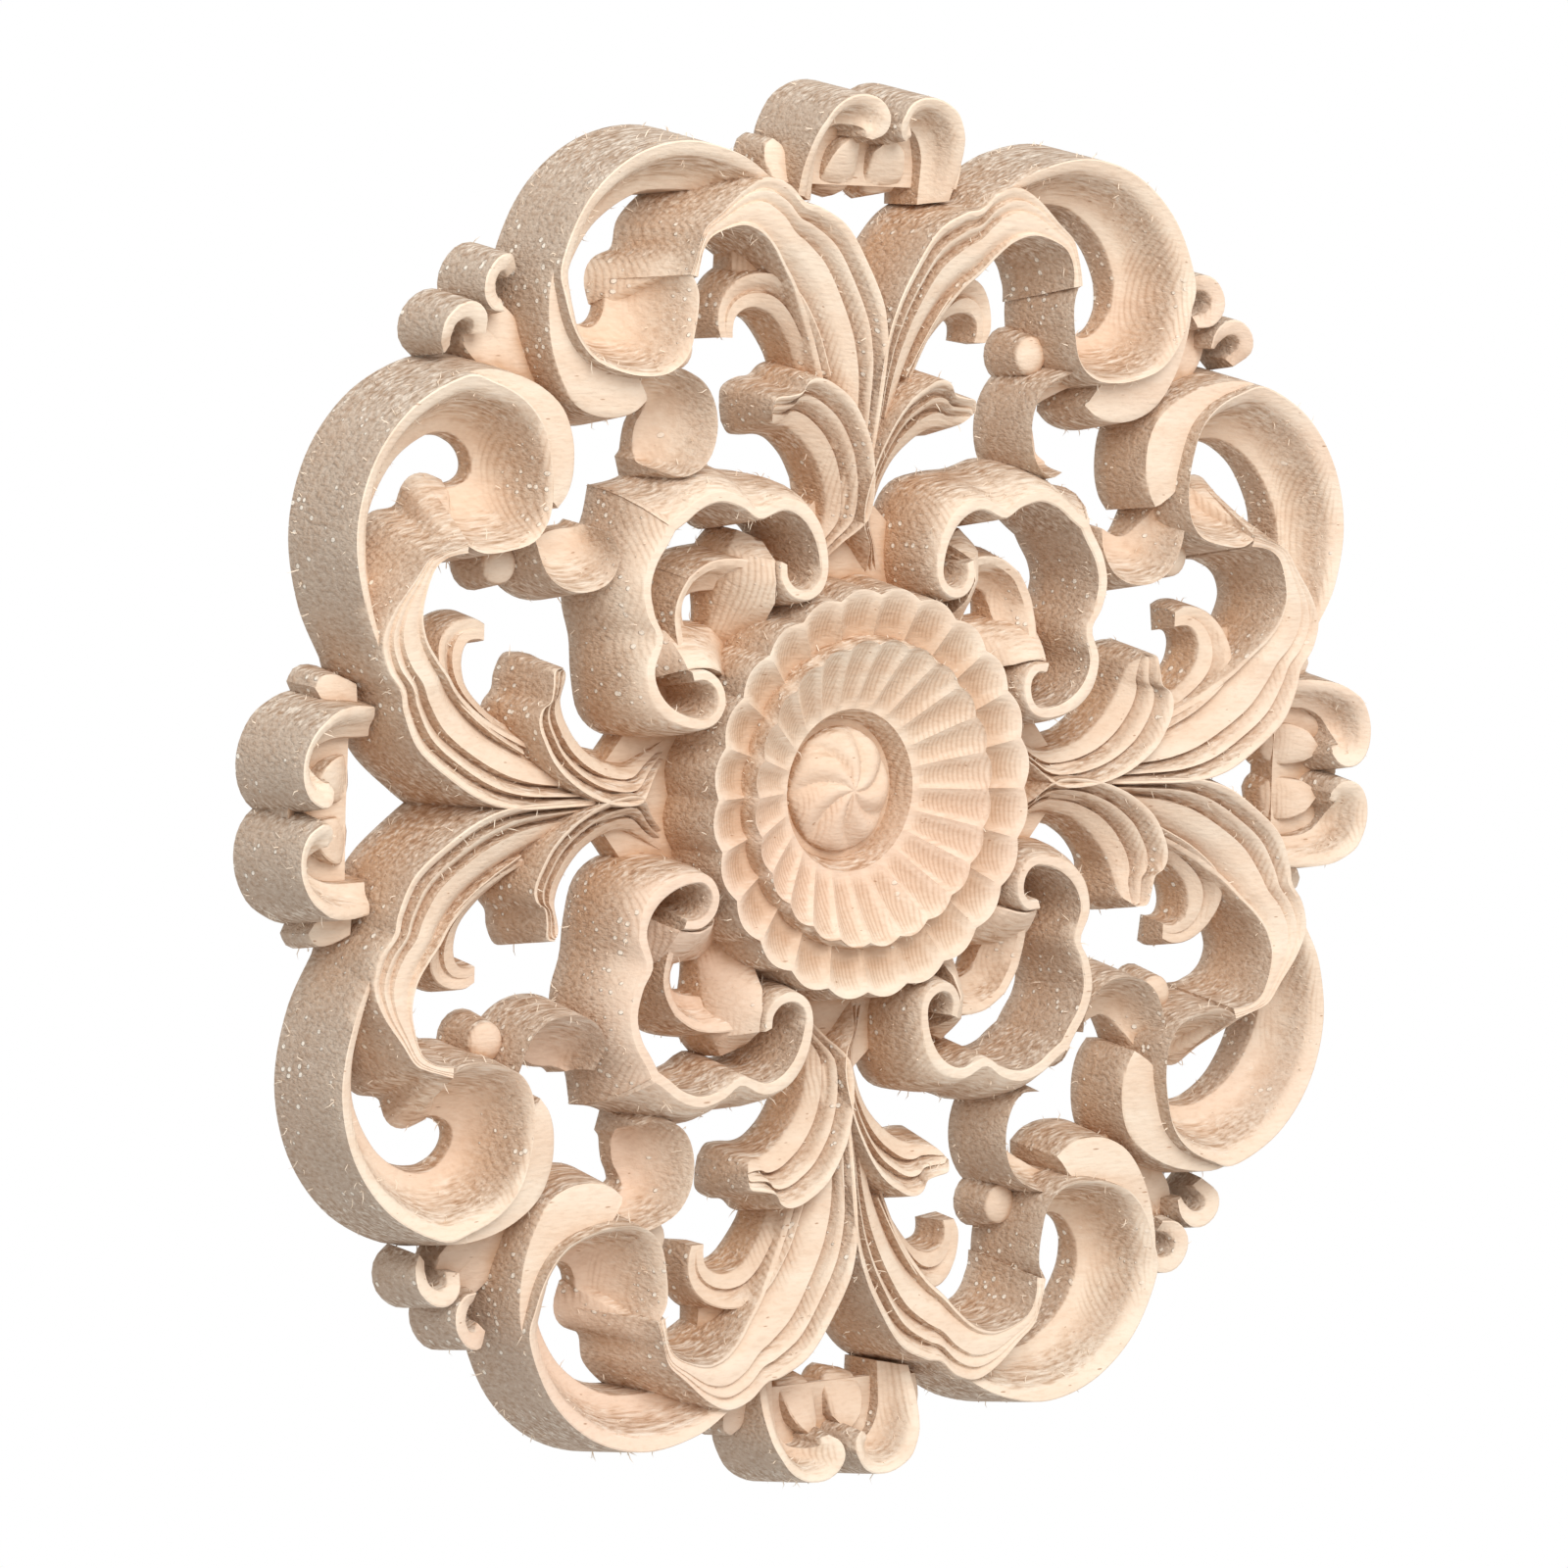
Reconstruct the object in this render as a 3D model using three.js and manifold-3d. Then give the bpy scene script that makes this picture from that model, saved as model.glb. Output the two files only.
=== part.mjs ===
// Carved wood applique: a round, pierced relief of scrolls and leaves about a fluted rosette.
// Millimetres. X runs to the right, Z up, and the carved front faces -Y.
// The flat back lies in the plane Y = 0, with the origin at its centre.
//
// The design repeats eight times, so every form is drawn once, in the eighth that lies between
// the upward axis and the diagonal. Its drawing places are shares of the design radius, and
// its heights above the back are shares of the board's thickness.

import * as THREE from 'three';
import { mergeVertices } from 'three/addons/utils/BufferGeometryUtils.js';
import Module from 'manifold-3d';

const wasm = await Module();
wasm.setup();

// Driving dimensions

const designRadius = 49;            // centre to the front edge of a knot
const boardThickness = 6.5;         // the scroll rims, leaf edges and rosette reach it
const wallTaper = 0.16;             // run of a carved wall for each millimetre of its depth

const petals = 24;                  // scallops on each ring of the rosette
const outerRing = 14.6;             // radius of the rosette's outer ring, at its rim
const innerRing = 10.95;            // radius of the inner ring
const scallopDepth = 0.5;           // how far a scallop stands out between its two nicks
const ringWell = 1.35;              // depth of the trough between the rings
const bowlDepth = 2.6;              // from the inner ring's rim down to the lip of the cup
const bowlLip = 6.2;                // radius of that lip
const cupDepth = 1.6;               // from the lip down to the floor round the button
const cupFloor = 5.1;               // radius of that floor
const buttonRadius = 4.4;           // domed button in the cup
const buttonRise = 2.1;             // its height over the floor of the cup
const fluteDepth = 0.32;            // scooped flutes of the bowl
const nickDrop = 0.3;               // how far a nick between two scallops lies below the rim
const pocketRise = 0.7;             // ridge between two petals where they meet the inner ring
const buttonStep = 0.2;             // upright edge round the foot of the button
const buttonCrown = 0.6;            // its level crown, as a share of its radius
const buttonTip = 0.1;              // radius of its flat tip, as a share of its radius
const crownShare = 0.8;             // height of that crown's edge, as a share of the rise
const bossShoulder = 0.85;          // where a boss's wall turns in, as a share of its height
const bossCrown = 0.6;              // level top of a boss, as a share of its radius
const bossSides = 6;
const stationsPerPetal = 2;         // places round the rosette: on a nick, then on a petal

const facetMerge = 0.24;            // facets that lie flat together within this are one
const weldReach = 1e-4;             // corners closer than this are one

const pale = 0xeed3b4;

// Curves of the drawing

const degrees = Math.PI / 180;

// Points on a round stretch, whose radius may grow or shrink on the way, as a scroll's does.
function round(cu, cv, r0, r1, a0, a1, count) {
  const points = [];
  for (let i = 0; i < count; i += 1) {
    const t = i / (count - 1);
    const r = r0 + (r1 - r0) * t;
    const a = (a0 + (a1 - a0) * t) * degrees;
    points.push([cu + r * Math.cos(a), cv + r * Math.sin(a)]);
  }
  return points;
}

function smoothCurve(points) {
  const places = points.map(([u, v]) => new THREE.Vector3(u, v, 0));
  return new THREE.CatmullRomCurve3(places, false, 'catmullrom', 0.5);
}

// A value read off a short list that is spread evenly along a form.
function along(list, t) {
  const place = t * (list.length - 1);
  const i = Math.min(Math.floor(place), list.length - 2);
  return list[i] + (list[i + 1] - list[i]) * (place - i);
}

// Sections of the carved forms: the share of the way up from the inner to the outer edge's
// height, at a share s of the way in from the outer edge and t of the way along.

const shoulderFall = 0.14;          // a shoulder's fall, as a share of the edges' difference
const hollowBend = 2.1;             // how deeply the hollow behind a shoulder bends

const level = (s) => 1 - s;

const cavetto = (shoulders) => (s, t) => {
  const wide = along(shoulders, t);
  const fall = Math.max(0, (s - wide) / (1 - wide));
  return (1 - shoulderFall * Math.min(1, s / wide)) * (1 - fall) ** hollowBend;
};

// A hollow below the straight line between the edges, or a swell above it.
const sagging = (depth) => (s) => 1 - s - depth * 4 * s * (1 - s);

// Grooves below a section, as shares of the thickness: narrow veins between broad bands.

const smooth = () => 0;

const veined = (places, reach, depths) => (s, t) => {
  const notches = places.map((p) => Math.max(0, 1 - Math.abs(s - p) / reach));
  return along(depths, t) * notches.reduce((sum, notch) => sum + notch, 0);
};

// The forms of one eighth. Edges are in step: the same share t of both is one rib of the form.

const forms = [
  {
    name: 'scroll bowl',
    outer: [[0.205, 0.868], ...round(0.37, 0.694, 0.23, 0.23, 112, 14, 5),
      [0.585, 0.7], [0.564, 0.652], [0.532, 0.619], [0.49, 0.603], [0.445, 0.596],
      [0.4, 0.601], [0.368, 0.625], [0.355, 0.668], [0.352, 0.712], [0.366, 0.745]],
    inner: [[0.225, 0.845], [0.268, 0.85], [0.33, 0.856], [0.403, 0.85], [0.47, 0.81],
      [0.506, 0.757], [0.513, 0.712], [0.503, 0.684], [0.49, 0.669], [0.475, 0.661],
      [0.461, 0.66], [0.45, 0.665], [0.442, 0.675], [0.438, 0.687], [0.436, 0.7],
      [0.436, 0.714]],
    outerHeight: [0.92, 1, 1, 1, 1, 1, 1, 1, 1, 1, 1, 1, 1, 1, 1, 0.97],
    innerHeight: [0.8, 0.62, 0.46, 0.4, 0.36, 0.32, 0.27, 0.22, 0.2, 0.2, 0.2, 0.2, 0.2, 0.2,
      0.2, 0.2],
    section: cavetto([0.3, 0.3, 0.28, 0.24, 0.16, 0.12, 0.1, 0.1]),
    ribs: 15,
    strips: 2,
  },
  {
    name: 'scroll lip',
    outer: [[0.576, 0.79], [0.601, 0.725], [0.598, 0.66], [0.58, 0.605], [0.55, 0.562],
      [0.51, 0.541], [0.465, 0.537], [0.432, 0.545], [0.411, 0.561]],
    inner: [[0.57, 0.784], [0.58, 0.712], [0.572, 0.668], [0.552, 0.637], [0.525, 0.62],
      [0.49, 0.612], [0.46, 0.605], [0.434, 0.593], [0.416, 0.569]],
    outerHeight: [0.9, 0.88, 0.83, 0.8, 0.76, 0.75, 0.74, 0.72],
    innerHeight: [0.88, 0.86, 0.85, 0.84, 0.84, 0.83, 0.8, 0.76],
    ribs: 7,
    strips: 1,
  },
  {
    name: 'leaf',
    outer: [[-0.004, 0.4], [-0.004, 0.48], [-0.004, 0.56], [-0.002, 0.64], [0.012, 0.7],
      [0.042, 0.755], [0.085, 0.812], [0.135, 0.838], [0.165, 0.845], [0.195, 0.868],
      [0.235, 0.878], [0.275, 0.861], [0.316, 0.828], [0.345, 0.805], [0.355, 0.782],
      [0.362, 0.758], [0.368, 0.738]],
    inner: [[0.036, 0.4], [0.046, 0.45], [0.058, 0.5], [0.072, 0.55], [0.09, 0.6],
      [0.112, 0.65], [0.135, 0.69], [0.16, 0.725], [0.185, 0.75], [0.208, 0.775],
      [0.235, 0.797], [0.268, 0.808], [0.3, 0.804], [0.33, 0.792], [0.344, 0.775],
      [0.35, 0.755], [0.352, 0.735]],
    outerFoot: [[-0.02, 0.4], [-0.02, 0.48], [-0.02, 0.56], [-0.02, 0.65], [-0.01, 0.72],
      [0.024, 0.775], [0.07, 0.83], [0.12, 0.858], [0.155, 0.865], [0.19, 0.885],
      [0.24, 0.895], [0.3, 0.885], [0.36, 0.85], [0.4, 0.812], [0.41, 0.772],
      [0.438, 0.757], [0.453, 0.725]],
    innerFoot: [[0.06, 0.39], [0.07, 0.44], [0.082, 0.49], [0.095, 0.54], [0.112, 0.59],
      [0.132, 0.635], [0.153, 0.672], [0.175, 0.705], [0.195, 0.735],
      [0.213, 0.757], [0.24, 0.775], [0.27, 0.786], [0.296, 0.779],
      [0.312, 0.763], [0.32, 0.745], [0.325, 0.73], [0.326, 0.71]],
    outerHeight: [0.6, 0.74, 0.86, 0.96, 1, 1, 1, 1, 1, 1, 1, 1, 1, 1, 1, 1, 0.98],
    innerHeight: [0.4, 0.46, 0.5, 0.54, 0.58, 0.62, 0.68, 0.76, 0.84, 0.9, 0.94, 0.97, 0.98,
      0.98, 0.98, 0.98, 0.96],
    groove: veined([0.16, 0.38, 0.82], 0.11,
      [0.08, 0.12, 0.13, 0.13, 0.12, 0.09, 0.05, 0.02, 0.01, 0.01, 0.01]),
    ribs: 12,
    stations: [0, 0.16, 0.38, 0.6, 0.82, 1],
  },
  {
    name: 'side lobe',
    outer: [[0.052, 0.305], [0.03, 0.352], [-0.004, 0.392], [-0.004, 0.45], [0.015, 0.51],
      [0.05, 0.562], [0.09, 0.589], [0.116, 0.597], [0.134, 0.591], [0.144, 0.576],
      [0.165, 0.571], [0.187, 0.567], [0.191, 0.55]],
    inner: [[0.082, 0.31], [0.06, 0.355], [0.045, 0.39], [0.05, 0.43], [0.065, 0.465],
      [0.085, 0.49], [0.11, 0.511], [0.128, 0.521], [0.143, 0.526], [0.155, 0.527],
      [0.167, 0.528], [0.178, 0.532], [0.184, 0.54]],
    outerFoot: [[0.035, 0.3], [0.01, 0.34], [-0.02, 0.385], [-0.02, 0.46], [0.0, 0.53],
      [0.04, 0.585], [0.088, 0.61], [0.116, 0.617], [0.138, 0.611], [0.155, 0.597],
      [0.179, 0.593], [0.204, 0.578], [0.206, 0.55]],
    innerFoot: [[0.094, 0.32], [0.074, 0.36], [0.058, 0.39], [0.062, 0.425], [0.075, 0.455],
      [0.092, 0.482], [0.114, 0.502], [0.13, 0.51], [0.145, 0.512], [0.16, 0.511],
      [0.175, 0.511], [0.19, 0.514], [0.202, 0.53]],
    outerHeight: [0.2, 0.5, 0.7, 0.8, 0.87, 0.9, 0.9, 0.88, 0.87, 0.86, 0.85, 0.82, 0.78],
    innerHeight: [0.26, 0.3, 0.35, 0.4, 0.43, 0.45, 0.48, 0.5, 0.52, 0.55, 0.6, 0.66, 0.72],
    groove: veined([0.3, 0.64], 0.16, [0.03, 0.08, 0.11, 0.12, 0.12, 0.09, 0.05, 0.02]),
    ribs: 6,
    stations: [0, 0.3, 0.47, 0.64, 1],
  },
  {
    name: 'hooked lobe',
    outer: [[0.07, 0.6], [0.1, 0.66], [0.135, 0.71], [0.165, 0.735], [0.193, 0.743],
      [0.222, 0.737], [0.244, 0.72], [0.256, 0.695], [0.257, 0.668], [0.25, 0.65]],
    inner: [[0.1, 0.585], [0.12, 0.63], [0.145, 0.665], [0.165, 0.684], [0.185, 0.692],
      [0.203, 0.693], [0.218, 0.687], [0.226, 0.677], [0.228, 0.663], [0.226, 0.65]],
    outerHeight: [0.66, 0.72, 0.74, 0.7, 0.62, 0.52, 0.45, 0.42, 0.42, 0.4],
    innerHeight: [0.34, 0.4, 0.44, 0.46, 0.47, 0.47, 0.45, 0.43, 0.42, 0.4],
    groove: veined([0.45], 0.25, [0.06, 0.08, 0.08, 0.05, 0.02, 0.0]),
    ribs: 5,
    stations: [0, 0.45, 1],
  },
  {
    name: 'valley beside the small hole',
    outer: [[0.17, 0.775], [0.2, 0.785], [0.225, 0.79]],
    inner: [[0.18, 0.725], [0.205, 0.735], [0.222, 0.745]],
    outerHeight: [0.5, 0.42, 0.3],
    innerHeight: [0.5, 0.42, 0.3],
    ribs: 1,
    strips: 1,
  },
  {
    name: 'lobe at the end of the scroll',
    outer: [[0.362, 0.752], [0.378, 0.742], [0.397, 0.73], [0.416, 0.717], [0.436, 0.703]],
    inner: [[0.36, 0.73], [0.374, 0.72], [0.39, 0.708], [0.408, 0.696], [0.43, 0.688]],
    outerFoot: [[0.415, 0.768], [0.438, 0.759], [0.452, 0.743], [0.455, 0.72],
      [0.446, 0.692]],
    outerHeight: [1, 0.82, 0.6, 0.4, 0.2],
    innerHeight: [0.8, 0.5, 0.34, 0.22, 0.14],
    ribs: 3,
    strips: 1,
  },
  {
    name: 'curl under the scroll',
    outer: [[0.405, 0.617], [0.365, 0.608], [0.322, 0.588], [0.299, 0.553], [0.296, 0.51],
      [0.312, 0.473], [0.345, 0.455], [0.378, 0.462]],
    inner: [[0.41, 0.588], [0.385, 0.573], [0.364, 0.556], [0.366, 0.54], [0.374, 0.524],
      [0.378, 0.505], [0.38, 0.487], [0.386, 0.476]],
    outerHeight: [0.8, 0.85, 0.85, 0.85, 0.84, 0.8, 0.68],
    innerHeight: [0.5, 0.36, 0.22, 0.18, 0.18, 0.2, 0.3],
    section: cavetto([0.07, 0.07]),
    ribs: 6,
    strips: 2,
  },
  {
    name: 'heart rim',
    outer: [...round(0.143, 0.322, 0.042, 0.042, 20, -180, 6), [0.105, 0.358],
      [0.12, 0.392], [0.148, 0.418], [0.19, 0.427], [0.231, 0.411], [0.263, 0.429],
      [0.302, 0.438], [0.342, 0.427], [0.375, 0.405], [0.398, 0.392]],
    inner: [...round(0.143, 0.322, 0.027, 0.027, 20, -180, 6), [0.122, 0.355],
      [0.138, 0.384], [0.161, 0.403], [0.189, 0.409], [0.23, 0.396], [0.262, 0.412],
      [0.3, 0.421], [0.334, 0.412], [0.362, 0.393], [0.386, 0.378]],
    outerFoot: [...round(0.143, 0.322, 0.056, 0.06, 20, -180, 6), [0.082, 0.362],
      [0.09, 0.41], [0.12, 0.445], [0.175, 0.459], [0.225, 0.464], [0.272, 0.478],
      [0.318, 0.478], [0.354, 0.468], [0.392, 0.448], [0.44, 0.438]],
    outerHeight: [0.92, 1, 1, 1, 1, 1],
    innerHeight: [0.92, 1, 1, 1, 1, 1],
    ribs: 15,
    strips: 1,
  },
  {
    name: 'inner arch',
    outer: [[0.176, 0.33], [0.205, 0.336], [0.24, 0.339], [0.272, 0.335], [0.296, 0.323],
      [0.314, 0.31]],
    inner: [[0.19, 0.3], [0.215, 0.297], [0.24, 0.292], [0.26, 0.29], [0.275, 0.285],
      [0.284, 0.28]],
    outerFoot: [[0.16, 0.366], [0.2, 0.361], [0.24, 0.356], [0.278, 0.351], [0.31, 0.343],
      [0.336, 0.328]],
    outerHeight: [0.86, 0.7, 0.62, 0.6, 0.6],
    innerHeight: [0.7, 0.44, 0.3, 0.25, 0.25],
    section: cavetto([0.3, 0.3]),
    ribs: 4,
    strips: 1,
  },
  {
    name: 'hood over the curl',
    outer: [[0.168, 0.362], [0.184, 0.337], [0.187, 0.306], [0.18, 0.276], [0.172, 0.246],
      [0.165, 0.215]],
    inner: [[0.21, 0.378], [0.236, 0.347], [0.242, 0.306], [0.24, 0.266], [0.238, 0.235],
      [0.222, 0.2]],
    outerHeight: [0.48, 0.86, 0.92, 0.84, 0.6, 0.4],
    innerHeight: [0.42, 0.5, 0.38, 0.28, 0.24, 0.2],
    section: sagging(-0.12),
    ribs: 4,
    strips: 1,
  },
  {
    name: 'knot',
    outer: [[0.142, 0.855], [0.145, 0.89], [0.143, 0.92], [0.138, 0.943], [0.128, 0.962],
      [0.115, 0.98], [0.095, 0.993], [0.072, 1.0], [0.046, 0.999], [0.025, 0.989],
      [0.013, 0.972], [0.01, 0.957], [0.016, 0.944], [0.03, 0.937]],
    inner: [[0.1, 0.848], [0.1, 0.875], [0.1, 0.898], [0.098, 0.916], [0.093, 0.932],
      [0.086, 0.945], [0.077, 0.954], [0.067, 0.958], [0.057, 0.958], [0.05, 0.956],
      [0.045, 0.953], [0.043, 0.949], [0.043, 0.945], [0.044, 0.941]],
    outerHeight: [0.65, 0.75, 0.85, 0.92, 0.97, 1, 1, 1, 1, 1, 1, 0.96, 0.91, 0.85],
    innerHeight: [0.48, 0.5, 0.52, 0.54, 0.55, 0.55, 0.56, 0.6, 0.68, 0.76, 0.82, 0.85, 0.85,
      0.8],
    section: cavetto([0.35, 0.35]),
    ribs: 9,
    stations: [0, 0.35, 1],
  },
  {
    name: 'knot floor',
    outer: [[-0.005, 0.985], [-0.005, 0.93], [-0.005, 0.872]],
    inner: [[0.1, 0.975], [0.115, 0.925], [0.115, 0.872]],
    outerHeight: [0.55, 0.34, 0.36],
    innerHeight: [0.5, 0.42, 0.38],
    ribs: 1,
    strips: 1,
  },
  {
    name: 'tongue in the knot',
    outer: [[0.072, 0.866], [0.074, 0.89], [0.062, 0.922], [0.034, 0.946]],
    inner: [[0.03, 0.858], [0.016, 0.868], [0.01, 0.89], [0.014, 0.92]],
    outerHeight: [0.28, 0.46, 0.57, 0.6],
    innerHeight: [0.24, 0.3, 0.4, 0.47],
    section: sagging(-0.2),
    ribs: 2,
    strips: 1,
  },
  {
    name: 'bud beside the knot',
    outer: [[0.172, 0.872], [0.184, 0.9], [0.183, 0.924], [0.168, 0.934]],
    inner: [[0.14, 0.872], [0.145, 0.895], [0.148, 0.912], [0.152, 0.924]],
    outerHeight: [0.5, 0.46, 0.45, 0.42],
    innerHeight: [0.52, 0.5, 0.48, 0.44],
    ribs: 2,
    strips: 1,
  },
  {
    name: 'rim curl on the diagonal',
    outer: [[0.622, 0.74], [0.642, 0.758], [0.669, 0.755], [0.69, 0.731], [0.692, 0.703],
      [0.675, 0.683], [0.65, 0.68]],
    inner: [[0.634, 0.726], [0.648, 0.735], [0.662, 0.733], [0.67, 0.72], [0.668, 0.708],
      [0.66, 0.7], [0.648, 0.698]],
    outerHeight: [0.5, 0.66, 0.7, 0.7, 0.66, 0.6],
    innerHeight: [0.45, 0.6, 0.64, 0.64, 0.6, 0.5],
    ribs: 5,
    strips: 1,
  },
  {
    name: 'web on the diagonal',
    outer: [[0.515, 0.575], [0.58, 0.64], [0.63, 0.69], [0.675, 0.7]],
    inner: [[0.55, 0.54], [0.615, 0.605], [0.66, 0.66], [0.7, 0.68]],
    outerHeight: [0.42, 0.42, 0.34, 0.32],
    innerHeight: [0.42, 0.42, 0.34, 0.32],
    ribs: 2,
    strips: 1,
  },
  {
    name: 'floor under the leaf base',
    outer: [[-0.005, 0.27], [-0.005, 0.36], [-0.005, 0.45]],
    inner: [[0.16, 0.28], [0.115, 0.36], [0.05, 0.42]],
    outerHeight: [0.26, 0.26],
    innerHeight: [0.26, 0.26],
    ribs: 1,
    strips: 1,
  },
];

// Low round bosses: where they stand, how wide and how high they are.

const bosses = [
  { name: 'knob under the leaf tip', at: [0.333, 0.633], radius: 0.03, height: 0.52 },
  { name: 'eye of the heart curl', at: [0.143, 0.322], radius: 0.04, height: 0.25 },
];

// Solids

function place(u, v, height) {
  return [u * designRadius, -height * boardThickness, v * designRadius];
}

function solidFrom(positions, triangles) {
  const geometry = new THREE.BufferGeometry();
  geometry.setAttribute('position', new THREE.Float32BufferAttribute(positions.flat(), 3));
  geometry.setIndex(triangles);
  const merged = mergeVertices(geometry, weldReach);
  return new wasm.Manifold(new wasm.Mesh({
    numProp: 3,
    vertProperties: merged.attributes.position.array,
    triVerts: Uint32Array.from(merged.index.array),
  }));
}

// Foot of a wall on the back: drawn, or outside its edge by the wall's taper.
function footOf(drawn, curve, t, height, side) {
  if (drawn) {
    const point = smoothCurve(drawn).getPoint(t);
    return [point.x, point.y];
  }
  const top = curve.getPoint(t);
  const tangent = curve.getTangent(t);
  const run = wallTaper * boardThickness / designRadius * height;
  return [top.x - tangent.y * side * run, top.y + tangent.x * side * run];
}

// The side of the drawing on which a form's outer edge lies, seen along its length.
function turnOf(outer, inner) {
  const a = outer.getPoint(0.5);
  const b = inner.getPoint(0.5);
  const tangent = outer.getTangent(0.5);
  return Math.sign(tangent.x * (a.y - b.y) - tangent.y * (a.x - b.x));
}

// One form: a carved top between two edges, sloping walls and a flat back.
function carve(form) {
  const outer = smoothCurve(form.outer);
  const inner = smoothCurve(form.inner);
  const turn = turnOf(outer, inner);
  const section = form.section ?? level;
  const groove = form.groove ?? smooth;
  const stations = form.stations ?? Array.from({ length: form.strips + 1 }, (_, j) => j / form.strips);
  const rows = [];
  for (let i = 0; i <= form.ribs; i += 1) {
    const t = i / form.ribs;
    const a = outer.getPoint(t);
    const b = inner.getPoint(t);
    const ha = along(form.outerHeight, t);
    const hb = along(form.innerHeight, t);
    const row = [place(...footOf(form.outerFoot, outer, t, ha, turn), 0)];
    for (const s of stations) {
      const height = hb + (ha - hb) * section(s, t) - groove(s, t);
      row.push(place(a.x + (b.x - a.x) * s, a.y + (b.y - a.y) * s, height));
    }
    row.push(place(...footOf(form.innerFoot, inner, t, hb, -turn), 0));
    rows.push(row);
  }
  const width = rows[0].length;
  const triangles = [];
  const quad = (a, b, c, d) => triangles.push(a, b, c, a, c, d);
  for (let i = 0; i < form.ribs; i += 1) {
    for (let j = 0; j < width; j += 1) {
      const k = (j + 1) % width;
      quad(i * width + j, i * width + k, (i + 1) * width + k, (i + 1) * width + j);
    }
  }
  const last = form.ribs * width;
  for (let j = 1; j < width - 1; j += 1) {
    triangles.push(0, j + 1, j);
    triangles.push(last, last + j, last + j + 1);
  }
  if (turn < 0) triangles.reverse();
  return solidFrom(rows.flat(), triangles);
}

// Rings of points about an upright axis, closed on the axis at both ends.
function turned(cu, cv, rings, sides) {
  const positions = [];
  const triangles = [];
  const [cx, , cz] = place(cu, cv, 0);
  for (const ring of rings) {
    for (let i = 0; i < sides; i += 1) {
      const a = i / sides * 2 * Math.PI;
      const { radius, height } = ring(a);
      positions.push([cx + radius * Math.sin(a), -height, cz + radius * Math.cos(a)]);
    }
  }
  for (let k = 0; k < rings.length - 1; k += 1) {
    for (let i = 0; i < sides; i += 1) {
      const j = (i + 1) % sides;
      const a = k * sides + i;
      const b = k * sides + j;
      triangles.push(a, b + sides, b, a, a + sides, b + sides);
    }
  }
  const foot = positions.push([cx, 0, cz]) - 1;
  const crown = positions.push([cx, -rings[rings.length - 1](0).height, cz]) - 1;
  const lastRing = (rings.length - 1) * sides;
  for (let i = 0; i < sides; i += 1) {
    const j = (i + 1) % sides;
    triangles.push(foot, i, j);
    triangles.push(crown, lastRing + j, lastRing + i);
  }
  return solidFrom(positions, triangles);
}

function boss({ at, radius, height }) {
  const top = height * boardThickness;
  const wide = radius * designRadius;
  const ring = (r, h) => () => ({ radius: r, height: h });
  const rings = [
    ring(wide + wallTaper * top, 0),
    ring(wide, bossShoulder * top),
    ring(bossCrown * wide, top),
  ];
  return turned(at[0], at[1], rings, bossSides);
}

function rosette() {
  const nick = (a) => 1 - Math.abs(Math.sin(petals * a / 2));
  const rim = boardThickness;
  const well = rim - ringWell;
  const lip = rim - bowlDepth;
  const floor = lip - cupDepth;
  const halfWay = (innerRing + bowlLip) / 2;
  const rings = [
    (a) => ({ radius: outerRing + wallTaper * rim - scallopDepth * nick(a), height: 0 }),
    (a) => ({ radius: outerRing - scallopDepth * nick(a), height: rim - nickDrop * nick(a) }),
    (a) => ({ radius: innerRing + wallTaper * ringWell, height: well + pocketRise * nick(a) }),
    (a) => ({ radius: innerRing - scallopDepth * nick(a), height: rim - nickDrop * nick(a) }),
    (a) => ({ radius: halfWay, height: (rim + lip) / 2 - fluteDepth * (1 - nick(a)) }),
    () => ({ radius: bowlLip, height: lip }),
    () => ({ radius: cupFloor, height: floor }),
    () => ({ radius: buttonRadius, height: floor + buttonStep }),
    () => ({ radius: buttonCrown * buttonRadius, height: floor + crownShare * buttonRise }),
    () => ({ radius: buttonTip * buttonRadius, height: floor + buttonRise }),
  ];
  return turned(0, 0, rings, petals * stationsPerPetal);
}

// Mirror image about the diagonal, about the upright axis, and quarter turns about the centre.

const acrossDiagonal = [0, 0, 1, 0, 0, 1, 0, 0, 1, 0, 0, 0, 0, 0, 0, 1];
const acrossUpright = [-1, 0, 0, 0, 0, 1, 0, 0, 0, 0, 1, 0, 0, 0, 0, 1];
const acrossLevel = [1, 0, 0, 0, 0, 1, 0, 0, 0, 0, -1, 0, 0, 0, 0, 1];

function applique() {
  let solid = null;
  const join = (piece) => {
    solid = solid ? solid.add(piece) : piece;
  };
  for (const form of forms) {
    join(carve(form));
  }
  for (const item of bosses) {
    join(boss(item));
  }
  for (const mirror of [acrossDiagonal, acrossUpright, acrossLevel]) {
    solid = solid.add(solid.transform(mirror));
  }
  return solid.add(rosette()).asOriginal().simplify(facetMerge);
}

function meshFrom(solid, name, finish) {
  const { vertProperties, triVerts } = solid.getMesh();
  const geometry = new THREE.BufferGeometry();
  geometry.setAttribute('position', new THREE.BufferAttribute(vertProperties, 3));
  geometry.setIndex(new THREE.BufferAttribute(triVerts, 1));
  const mesh = new THREE.Mesh(geometry, finish);
  mesh.name = name;
  return mesh;
}

const rawWood = new THREE.MeshStandardMaterial({ color: pale, roughness: 0.82, metalness: 0 });

const group = new THREE.Group();
group.add(meshFrom(applique(), 'carved_applique', rawWood));

export default group;
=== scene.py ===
import math

import bpy
import numpy as np
from mathutils import Matrix, Vector


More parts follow.
